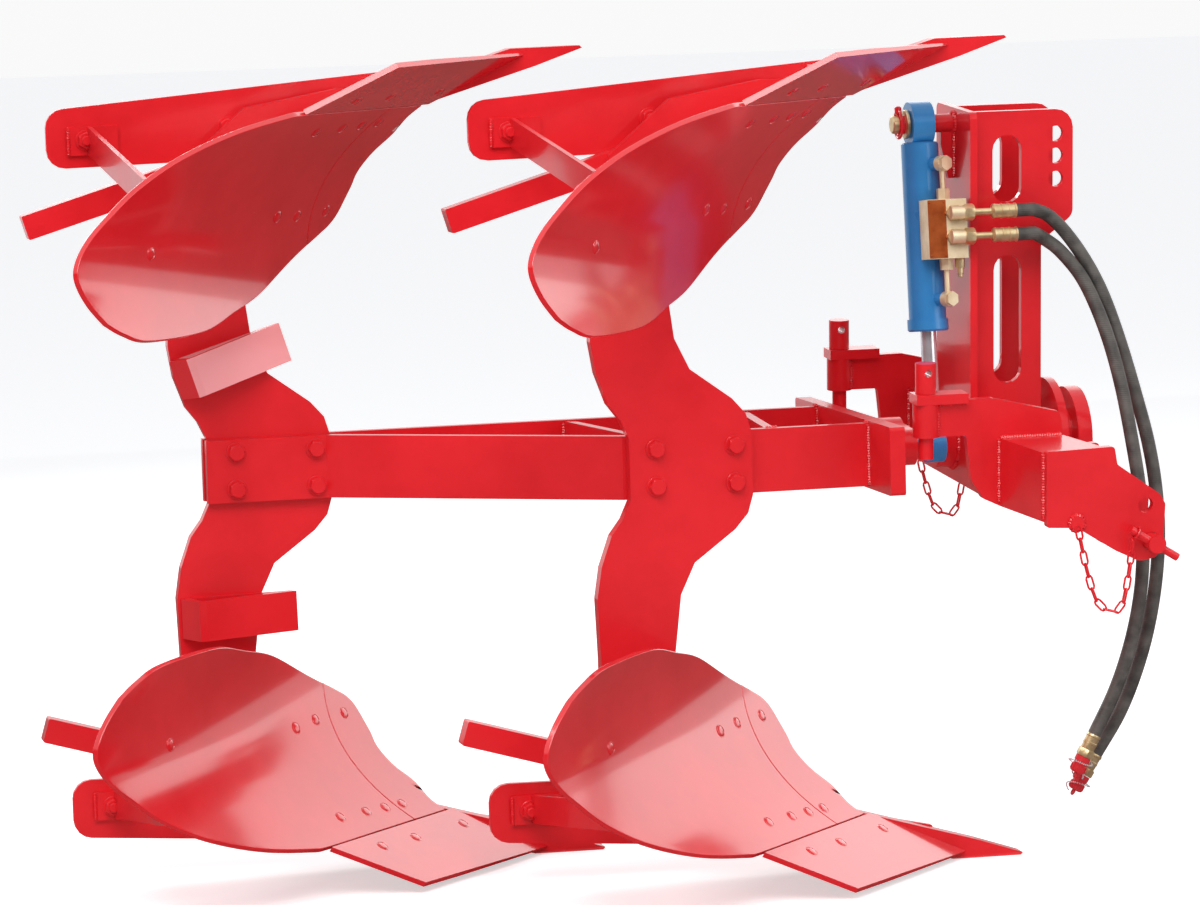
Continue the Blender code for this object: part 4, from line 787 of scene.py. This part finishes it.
# Landside fastenings: a bolt with its nut on the stay's square foot and one further on, on each
# body, painted over.
LANDSIDE_BOLTS = ((-0.172, -0.541), (0.058, -0.554))
LAND_LOOK = 0.30
for ending, upper, shift in BODIES:
    shape = bmesh.new()
    for index, (x, z) in enumerate(LANDSIDE_BOLTS):
        height = -z if upper else z
        place = seat("landside_" + ending, AXIS + (Vector((x, -LOOK_SIDE, height)) + shift), Y_WAY)
        if place is not None:
            hex_bolt(shape, place, True, 0.5 + index)
        place = seat("landside_" + ending, AXIS + (Vector((x, LAND_LOOK, height)) + shift), -Y_WAY)
        if place is not None:
            flush_bolt(shape, place)
    finish_piece(shape, "landside_bolts_" + ending, red_enamel, "plough_frame")


# Welds: fillet beads laid by hand along the seams of frame and headstock, rippled along their
# length and painted over.
HEADSTOCK_TILT = math.radians(3.9)
BEAD = 0.0042
RIPPLE = 0.0042
BEAD_SIDES = 8
BEAD_STEPS = 4
SHAFT_BEAD = 0.8
STAY_BEAD = 0.7


def on_headstock(x, y, z):
    """A place of the headstock, which leans over the turnover axis."""
    return AXIS + Matrix.Rotation(HEADSTOCK_TILT, 3, "X") @ Vector((x, y, z))


def on_frame(x, y, z):
    """A place of the plough frame."""
    return AXIS + Vector((x, y, z))


def bead(shape, points, radius):
    """One rippled bead along a line, half sunk in its seam."""
    total = sum((b - a).length for a, b in zip(points, points[1:]))
    count = max(6, int(total / RIPPLE * BEAD_STEPS))
    line = []
    legs = [(a, b, (b - a).length) for a, b in zip(points, points[1:])]
    for step in range(count + 1):
        rest = total * step / count
        for a, b, leg in legs:
            if rest <= leg or (a, b, leg) == legs[-1]:
                line.append(a.lerp(b, min(1.0, rest / leg)))
                break
            rest -= leg
    rings = []
    for index, here in enumerate(line):
        way = (line[min(index + 1, count)] - line[max(index - 1, 0)]).normalized()
        side = way.orthogonal().normalized()
        up = way.cross(side)
        wave = math.sin(index * math.pi / 2) * 0.12 + math.sin(index * 0.37 + total * 40) * 0.08
        ending = min(1.0, 0.35 + min(index, count - index) * 0.35)
        size = radius * ending * (1 + wave)
        rings.append([shape.verts.new(here + size * (side * math.cos(2 * math.pi * k / BEAD_SIDES)
                                                     + up * math.sin(2 * math.pi * k / BEAD_SIDES)))
                      for k in range(BEAD_SIDES)])
    for before, after in zip(rings, rings[1:]):
        bridge(shape, before, after)
    shape.faces.new(rings[0][::-1])
    shape.faces.new(rings[-1])


def round_seam(centre, across, up, radius, steps=28):
    """The points of a seam that runs right round a bar."""
    turns = [2 * math.pi * k / steps for k in range(steps + 1)]
    return [centre + radius * (across * math.cos(turn) + up * math.sin(turn)) for turn in turns]


FRAME_SEAMS = [
    [(0.404, -0.159, -0.050), (0.404, -0.159, 0.050)], [(0.404, -0.159, 0.051), (0.404, -0.143, 0.051)],
    [(0.404, -0.143, -0.050), (0.404, -0.143, 0.050)], [(0.404, 0.143, -0.050), (0.404, 0.143, 0.050)],
    [(0.404, 0.159, -0.050), (0.404, 0.159, 0.050)], [(0.404, 0.143, 0.051), (0.404, 0.159, 0.051)],
    [(0.017, -0.143, 0.049), (0.039, -0.143, 0.049)], [(0.020, -0.143, -0.047), (0.020, -0.143, 0.047)],
    [(0.036, -0.143, -0.047), (0.036, -0.143, 0.047)], [(-0.030, 0.143, -0.047), (-0.030, 0.143, 0.047)],
    [(-0.014, 0.143, -0.047), (-0.014, 0.143, 0.047)],
    [(0.238, -0.143, -0.047), (0.238, -0.143, 0.047)], [(0.254, -0.143, -0.047), (0.254, -0.143, 0.047)],
    [(0.235, -0.143, 0.049), (0.257, -0.143, 0.049)],
    [(0.268, 0.143, -0.047), (0.268, 0.143, 0.047)], [(0.284, 0.143, -0.047), (0.284, 0.143, 0.047)],
    [(-0.668, 0.1178, -0.266), (-0.669, 0.1178, -0.204)],
    [(-0.502, 0.1178, -0.268), (-0.503, 0.1178, -0.206)],
]
STAY_SEAMS = (((-0.200, -0.1567, -0.563), (-0.200, -0.1567, -0.517)),
              ((0.150, -0.1490, -0.568), (0.290, -0.1490, -0.596)))
shape = bmesh.new()
for seam in FRAME_SEAMS:
    bead(shape, [on_frame(*point) for point in seam], BEAD)
bead(shape, round_seam(on_frame(0.4295, 0, 0), Y_WAY, Z_WAY, 0.0425), BEAD)
bead(shape, round_seam(on_frame(0.5032, 0, 0), Y_WAY, Z_WAY, 0.0225), BEAD * SHAFT_BEAD)
for _, upper, shift in BODIES:
    for seam in STAY_SEAMS:
        ends = [Vector(end) + shift for end in seam]
        for end in ends:
            end.z = -end.z if upper else end.z
        bead(shape, [AXIS + end for end in ends], BEAD * STAY_BEAD)
finish_piece(shape, "frame_welds", red_enamel, "plough_frame")

HEADSTOCK_SEAMS = [
    [(0.592, -0.256, -0.060), (0.592, -0.256, 0.044)], [(0.592, -0.256, 0.044), (0.697, -0.256, 0.044)],
    [(0.615, -0.4100, -0.062), (0.615, -0.4100, 0.044)], [(0.618, -0.410, 0.044), (0.725, -0.410, 0.044)],
    [(0.5925, -0.240, -0.060), (0.5925, -0.240, 0.048)],
    [(0.592, 0.256, -0.060), (0.592, 0.256, 0.044)], [(0.592, 0.256, 0.044), (0.697, 0.256, 0.044)],
    [(0.615, 0.4100, -0.062), (0.615, 0.4100, 0.044)], [(0.618, 0.410, 0.044), (0.725, 0.410, 0.044)],
    [(0.592, 0.240, -0.060), (0.592, 0.240, 0.048)],
    [(0.489, -0.2560, 0.053), (0.489, -0.2560, 0.104)], [(0.489, -0.2400, 0.053), (0.489, -0.2400, 0.104)],
    [(0.489, 0.2560, 0.053), (0.489, 0.2560, 0.104)], [(0.489, 0.2400, 0.053), (0.489, 0.2400, 0.104)],
    [(0.496, -0.2565, 0.105), (0.537, -0.2565, 0.105)], [(0.496, 0.2565, 0.105), (0.537, 0.2565, 0.105)],
    [(0.608, -0.0575, 0.052), (0.608, -0.0575, 0.545)], [(0.608, 0.0575, 0.052), (0.608, 0.0575, 0.545)],
    [(0.612, -0.0575, 0.0505), (0.727, -0.0575, 0.0505)], [(0.612, 0.0575, 0.0505), (0.727, 0.0575, 0.0505)],
    [(0.5955, -0.0065, 0.436), (0.5955, -0.0065, 0.512)], [(0.5955, 0.0065, 0.436), (0.5955, 0.0065, 0.512)],
    [(0.596, -0.090, 0.0505), (0.596, 0.090, 0.0505)],
]
shape = bmesh.new()
for seam in HEADSTOCK_SEAMS:
    bead(shape, [on_headstock(*point) for point in seam], BEAD)
leaning = [Matrix.Rotation(HEADSTOCK_TILT, 3, "X") @ way for way in (X_WAY, Y_WAY, Z_WAY)]
bead(shape, round_seam(on_headstock(0.5955, 0, 0.524), leaning[1], leaning[2], 0.0160), BEAD)
for x in (0.5915, 0.6975):
    bead(shape, round_seam(on_headstock(x, 0, 0), leaning[1], leaning[2], 0.0455), BEAD)
for sign in (-1, 1):
    pin_seam = round_seam(on_headstock(0.6650, sign * 0.4252, -0.068), leaning[0], leaning[2], 0.0115, 20)
    bead(shape, pin_seam, BEAD)
finish_piece(shape, "headstock_welds", red_enamel, "headstock")


# Pivot pin's end: a thick turned washer and the pin's stub, zinc plated, on the rear of the barrel's
# eye. A forged linch pin with its sprung ring, painted over, goes through the stub.
PIVOT_HEIGHT = 0.524
WASHER = 0.0235
RING_RADIUS = 0.0225
RING_WIRE = 0.0022
WASHER_PROFILE = ((0.0158, -0.0005), (WASHER - 0.0008, -0.0005), (WASHER, 0.0004), (WASHER, 0.0042),
                  (WASHER - 0.0008, 0.0050), (0.0158, 0.0050))
PIN_PROFILE = ((0.0145, 0.0040), (0.0145, 0.0240), (0.0128, 0.0262), (0.0040, 0.0266))
LINCH_PROFILE = ((0.0022, 0.0), (0.0034, 0.002), (0.0034, 0.038), (0.0058, 0.040), (0.0058, 0.050),
                 (0.0040, 0.052))


def ring_of_wire(shape, centre, first, second, radius, wire, steps, sides=10):
    """A ring of round wire."""
    rings = []
    axis = first.cross(second)
    for step in range(steps):
        turn = 2 * math.pi * step / steps
        out = first * math.cos(turn) + second * math.sin(turn)
        ring = []
        for k in range(sides):
            turn = 2 * math.pi * k / sides
            ring.append(shape.verts.new(centre + out * (radius + wire * math.cos(turn))
                                        + axis * wire * math.sin(turn)))
        rings.append(ring)
    for before, after in zip(rings, rings[1:] + rings[:1]):
        bridge(shape, before, after)


shape = bmesh.new()
pin_place = Matrix.Translation(on_headstock(0.517, 0, PIVOT_HEIGHT)) @ Matrix.Rotation(
    HEADSTOCK_TILT, 4, "X") @ Matrix.Rotation(math.radians(-90), 4, "Y")
turned_rings(shape, WASHER_PROFILE, pin_place, 40)
turned_rings(shape, PIN_PROFILE, pin_place, 36)
finish_piece(shape, "pivot_washer", zinc, "headstock")
shape = bmesh.new()
linch = on_headstock(0.504, 0, PIVOT_HEIGHT)
ring_of_wire(shape, linch + leaning[1] * 0.004, leaning[2], leaning[1], RING_RADIUS, RING_WIRE, 40)
pin_turn = (leaning[2] * 0.97 + leaning[1] * 0.24).normalized()
linch_turn = pin_turn.to_track_quat("Z", "Y").to_matrix().to_4x4()
turned_rings(shape, LINCH_PROFILE, Matrix.Translation(linch - pin_turn * 0.0225) @ linch_turn, 20)
finish_piece(shape, "pivot_linch_pin", red_enamel, "headstock")


# Valve block's fittings: a blank copper plate with four rivets on its face and, zinc plated, union
# nuts where the hoses leave and a locking screw below.
CYLINDER_LEAN = math.radians(-4.85)
BLOCK_FACE = -0.076
PLATE_LOW = (0.5226, -0.2210)
PLATE_HIGH = (0.5530, -0.1270)
PLATE_THICKNESS = 0.0012
PORT_HEIGHTS = (-0.149, -0.1875)
PORT_X = 0.566
NUT_RADIUS = 0.0138
SCREW_PLACE = (0.580, -0.052, -0.2219)
SCREW_PROFILE = ((0.0052, 0.014), (0.0052, 0.024), (0.0038, 0.0245), (0.0038, 0.030), (0.0030, 0.0308))
RIVET_PROFILE = ((0.0018, -0.0002), (0.0018, 0.0003), (0.0014, 0.0008), (0.0006, 0.0011))
CHAMFER = 0.90
CHAMFER_SHARE = 0.12

FACING_RIGHT = Matrix.Rotation(math.radians(90), 4, "X")
cylinder_place = (Matrix.Translation(on_headstock(0, 0, PIVOT_HEIGHT))
                  @ Matrix.Rotation(CYLINDER_LEAN, 4, "X"))


def hex_nut(shape, place, radius, length, bore):
    """A hexagon nut with chamfered ends, along the place's Z."""
    rings = ((bore, 0.0), (radius * CHAMFER, 0.0), (radius, length * CHAMFER_SHARE),
             (radius, length * (1 - CHAMFER_SHARE)), (radius * CHAMFER, length), (bore, length))
    made = []
    for size, rise in rings:
        ring = []
        for k in range(HEX_STEPS):
            turn = 2 * math.pi * k / HEX_STEPS
            reach = size
            if size == radius:
                reach = size * hex_reach(k)
            elif size > bore:
                reach = size * hex_reach(k) ** 0.3
            ring.append(shape.verts.new(place @ Vector((reach * math.cos(turn), reach * math.sin(turn),
                                                        rise))))
        made.append(ring)
    for before, after in zip(made, made[1:] + made[:1]):
        bridge(shape, before, after)


shape = bmesh.new()
plate_mid = Vector(((PLATE_LOW[0] + PLATE_HIGH[0]) / 2, BLOCK_FACE - PLATE_THICKNESS / 2,
                    (PLATE_LOW[1] + PLATE_HIGH[1]) / 2))
bmesh.ops.create_cube(shape, size=1.0)
bmesh.ops.scale(shape, vec=(PLATE_HIGH[0] - PLATE_LOW[0], PLATE_THICKNESS, PLATE_HIGH[1] - PLATE_LOW[1]),
                verts=shape.verts)
bmesh.ops.bevel(shape, geom=shape.edges[:], offset=0.0004, segments=2, affect="EDGES")
bmesh.ops.translate(shape, vec=plate_mid, verts=shape.verts)
for x in (PLATE_LOW[0] + 0.003, PLATE_HIGH[0] - 0.003):
    for z in (PLATE_LOW[1] + 0.004, PLATE_HIGH[1] - 0.004):
        place = Matrix.Translation((x, BLOCK_FACE - PLATE_THICKNESS, z)) @ FACING_RIGHT
        turned_rings(shape, RIVET_PROFILE, place, 14)
bmesh.ops.transform(shape, matrix=cylinder_place, verts=shape.verts)
finish_piece(shape, "valve_plate", copper, "barrel")

shape = bmesh.new()
for height in PORT_HEIGHTS:
    into = Matrix.Translation((PORT_X, BLOCK_FACE + 0.0002, height)) @ FACING_RIGHT
    hex_nut(shape, cylinder_place @ into, NUT_RADIUS + 0.0006, 0.0065, 0.0095)
screw = Matrix.Translation(SCREW_PLACE) @ Matrix.Rotation(math.radians(180), 4, "X")
hex_nut(shape, cylinder_place @ screw, 0.0085, 0.016, 0.0048)
turned_rings(shape, SCREW_PROFILE, cylinder_place @ screw, 24)
finish_piece(shape, "valve_fittings", zinc, "barrel")


# Hose ends: at the block a union nut, a straight stem and a crimped ferrule; at the far end a
# crimped ferrule, a union nut and a quick coupler under its red dust cap, with its ball chain.
FERRULE_PROFILE = (
    # radius, distance from the nut
    (0.0040, 0.0000), (0.0056, 0.0000), (0.0056, 0.0330), (0.0075, 0.0345), (0.0105, 0.0352),
    (0.0118, 0.0366), (0.0118, 0.0400), (0.0112, 0.0408), (0.0112, 0.0490), (0.0119, 0.0498),
    (0.0119, 0.0520), (0.0112, 0.0528), (0.0112, 0.0610), (0.0119, 0.0618), (0.0119, 0.0640),
    (0.0112, 0.0648), (0.0112, 0.0720), (0.0122, 0.0730), (0.0122, 0.0752), (0.0110, 0.0756),
)
END_FERRULE = (
    (0.0116, -0.0040), (0.0121, -0.0030), (0.0121, 0.0000), (0.0112, 0.0010), (0.0112, 0.0090),
    (0.0119, 0.0098), (0.0119, 0.0130), (0.0112, 0.0138), (0.0112, 0.0230), (0.0105, 0.0250),
)
CAP_PROFILE = (
    (0.0118, 0.0355), (0.0124, 0.0362), (0.0124, 0.0445), (0.0112, 0.0450), (0.0112, 0.0500),
    (0.0122, 0.0506), (0.0122, 0.0610), (0.0112, 0.0628), (0.0080, 0.0640), (0.0060, 0.0642),
)
CAP_RIBS = 18
RIB_PROFILE = ((0.0004, 0.0), (0.0009, 0.0006), (0.0009, 0.0086), (0.0004, 0.0092))
RIB_PLACE = (0.0122, 0, 0.0515)
UNION_NUT_BACK = Vector((0.0125, 0, 0))
COUPLER_NUT = (0.0142, 0.0125, 0.0080)
COUPLER_NUT_PLACE = (0, 0, 0.0225)
CAP_EYE_PLACE = (0, 0, 0.0672)
CAP_EYE_RADIUS = 0.0046
CAP_EYE_WIRE = 0.0020
FACING_AHEAD = Matrix.Rotation(math.radians(90), 4, "Y")
BALL = 0.0014
BALLS = 46

for name, route in HOSE_ROUTES.items():
    low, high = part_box("ferrule_" + name)
    start = Vector((low[0], (low[1] + high[1]) / 2, (low[2] + high[2]) / 2))
    shape = bmesh.new()
    turned_rings(shape, FERRULE_PROFILE, Matrix.Translation(start) @ FACING_AHEAD, 40)
    crimped = finish_piece(shape, "ferrule_stem_" + name, zinc, "headstock")
    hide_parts("ferrule_" + name)
    shape = bmesh.new()
    hex_nut(shape, Matrix.Translation(start - UNION_NUT_BACK) @ FACING_AHEAD, NUT_RADIUS, 0.0165, 0.0060)
    finish_piece(shape, "union_nut_" + name, zinc, "barrel")

    exit_point = Vector((high[0] + HOSE_SEAT, start.y, start.z))
    line = [exit_point + Vector((HOSE_STRAIGHT, 0, 0))] + [AXIS + Vector(point) for point in route]
    line = smooth_line(line, HOSE_STEPS // 2)
    way = (line[-1] - line[-2]).normalized()
    end_turn = way.to_track_quat("Z", "Y").to_matrix().to_4x4()
    end_place = Matrix.Translation(line[-1] + way * HOSE_SEAT) @ end_turn
    shape = bmesh.new()
    turned_rings(shape, END_FERRULE, end_place, 40)
    hex_nut(shape, end_place @ Matrix.Translation(COUPLER_NUT_PLACE), *COUPLER_NUT)
    finish_piece(shape, "coupler_ferrule_" + name, zinc, "headstock")
    shape = bmesh.new()
    turned_rings(shape, CAP_PROFILE, end_place, 48)
    for rib in range(CAP_RIBS):
        rib_place = (end_place @ Matrix.Rotation(2 * math.pi * rib / CAP_RIBS, 4, "Z")
                     @ Matrix.Translation(RIB_PLACE))
        turned_rings(shape, RIB_PROFILE, rib_place, 8)
    sideways = end_place.to_3x3() @ X_WAY
    along_end = end_place.to_3x3() @ Z_WAY
    ring_of_wire(shape, end_place @ Vector(CAP_EYE_PLACE), sideways, along_end, CAP_EYE_RADIUS,
                 CAP_EYE_WIRE, 28)
    cap = finish_piece(shape, "dust_cap_" + name, cap_red, "headstock")
    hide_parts("coupler_" + name)
    shape = bmesh.new()
    for index in range(BALLS):
        share = index / (BALLS - 1)
        turn = 2 * math.pi * (1.35 * share + (0.1 if name == "upper" else 0.45))
        sag = 0.0045 * math.sin(math.pi * share) + 0.0012 * math.sin(11 * share)
        reach = 0.0148 + sag
        rise = 0.030 + 0.036 * share + 0.004 * math.sin(7 * share)
        ball = Matrix.Translation(end_place @ Vector((reach * math.cos(turn), reach * math.sin(turn), rise)))
        bmesh.ops.create_icosphere(shape, subdivisions=1, radius=BALL, matrix=ball)
    finish_piece(shape, "cap_chain_" + name, chrome, "headstock")


bpy.context.view_layer.update()
